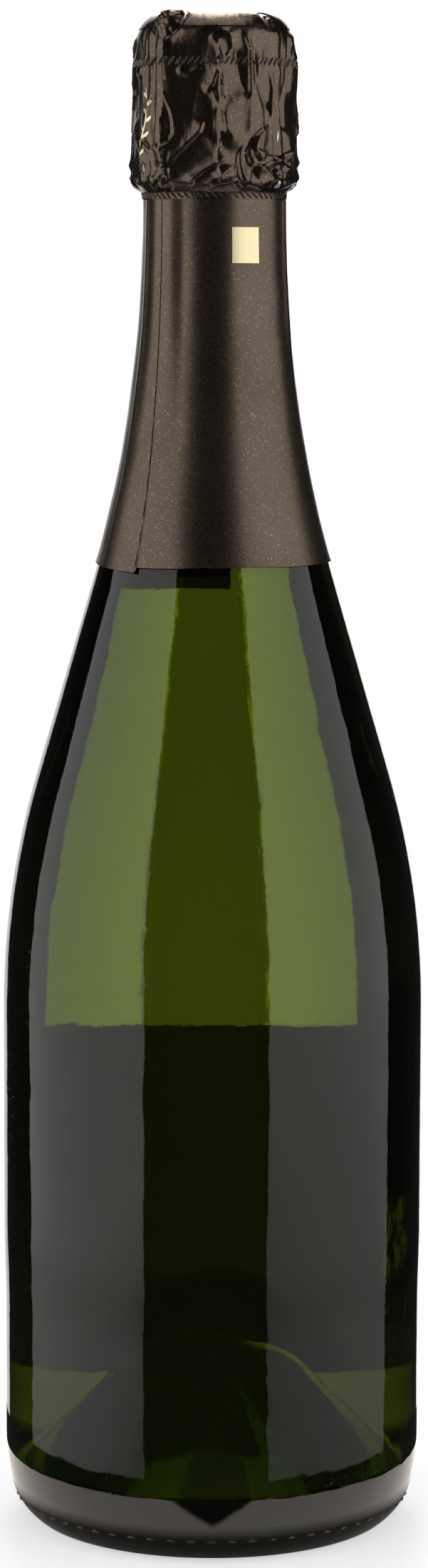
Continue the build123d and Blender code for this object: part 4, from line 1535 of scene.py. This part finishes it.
def surround(stage):
    """White for the camera, for reflections and through the glass, and a softer light for the rest."""
    world = bpy.data.worlds.new("surround")
    bpy.context.scene.world = world
    world.use_nodes = True
    nodes = Nodes(world.node_tree)
    light = nodes.tree.nodes["Background"]
    rays = nodes.add("ShaderNodeLightPath").outputs
    sight = nodes.math("MAXIMUM", rays["Is Camera Ray"], rays["Is Glossy Ray"])
    sight = nodes.math("MAXIMUM", sight, rays["Is Transmission Ray"])
    inputs = {"Value": sight, "To Min": stage.fill, "To Max": stage.backdrop}
    nodes.join(light.inputs["Strength"], nodes.out("ShaderNodeMapRange", inputs, "Result"))
    nodes.join(light.inputs["Color"], WHITE)


class BOTTLE_OT_stage(bpy.types.Operator):
    """The camera, the floor, the lights and the dark cards"""

    bl_idname = "bottle.stage"
    bl_label = "Stage"

    def execute(self, context):
        stage = context.scene.bottle_stage
        data = bpy.data.cameras.new("camera")
        data.lens = LENS
        data.sensor_fit = "VERTICAL"
        data.sensor_height = SENSOR
        camera = bpy.data.objects.new("camera", data)
        context.scene.collection.objects.link(camera)
        camera.location = CAMERA_PLACE
        camera.rotation_euler = (math.radians(90 - CAMERA_DIP), math.radians(CAMERA_ROLL), 0.0)
        context.scene.camera = camera

        corners = ((-1, -1), (1, -1), (1, 1), (-1, 1))
        floor = flat("floor", [[(x * FLOOR_HALF, y * FLOOR_HALF, 0) for x, y in corners]])
        painted(floor, board_finish())
        flags, tent = ([upright(middle, *place) for middle in middles] for middles, *place in (FLAGS, TENT))
        card("flags", flags, FLAG_SHADE, glossy=False, transmission=True)
        card("dark tent", tent, TENT_SHADE)
        bright = [upright(*place) for place in BRIGHT_CARDS]
        card("backdrop sides", bright, 0.0, glow=stage.sides, glossy=False, transmission=True)
        for name, start, stop, level in SOFT_BOXES:
            dimmed(soft_box(name, start, stop, *SOFT_BOX_SPAN, stage.radiance), DIM_FOOT, level, DIM_SHARE)
        glare = soft_box("back light", *BACK_LIGHT, stage.glare)
        glare.rotation_euler[0] = math.radians(90 - BACK_LIGHT_DIP)
        glare.visible_diffuse = False
        glare.visible_transmission = False
        surround(stage)
        return {"FINISHED"}


class BOTTLE_PT_panel(bpy.types.Panel):
    """Lists the bottle's pieces"""

    bl_label = "Bottle"
    bl_idname = "BOTTLE_PT_panel"
    bl_space_type = "VIEW_3D"
    bl_region_type = "UI"
    bl_category = "Bottle"

    def draw(self, context):
        for operator in OPERATORS:
            self.layout.operator(operator.bl_idname)


SETTINGS = {
    "bottle_glass": BottleGlassSettings,
    "bottle_wine": BottleWineSettings,
    "bottle_foil": BottleFoilSettings,
    "bottle_label": BottleLabelSettings,
    "bottle_stage": BottleStageSettings,
}
OPERATORS = (
    BOTTLE_OT_stage,
    BOTTLE_OT_glass,
    BOTTLE_OT_wine,
    BOTTLE_OT_collar,
    BOTTLE_OT_head,
    BOTTLE_OT_gold,
    BOTTLE_OT_labels,
    BOTTLE_OT_stopper,
    BOTTLE_OT_cage,
)


def register():
    for name, group in SETTINGS.items():
        bpy.utils.register_class(group)
        setattr(bpy.types.Scene, name, bpy.props.PointerProperty(type=group))
    for operator in OPERATORS:
        bpy.utils.register_class(operator)
    bpy.utils.register_class(BOTTLE_PT_panel)


def unregister():
    bpy.utils.unregister_class(BOTTLE_PT_panel)
    for operator in reversed(OPERATORS):
        bpy.utils.unregister_class(operator)
    for name, group in reversed(SETTINGS.items()):
        delattr(bpy.types.Scene, name)
        bpy.utils.unregister_class(group)


def main():
    register()
    bpy.context.scene.view_settings.view_transform = "Standard"
    for operator in OPERATORS:
        group, name = operator.bl_idname.split(".")
        getattr(getattr(bpy.ops, group), name)()
    bpy.context.view_layer.update()


if __name__ == "__main__":
    main()
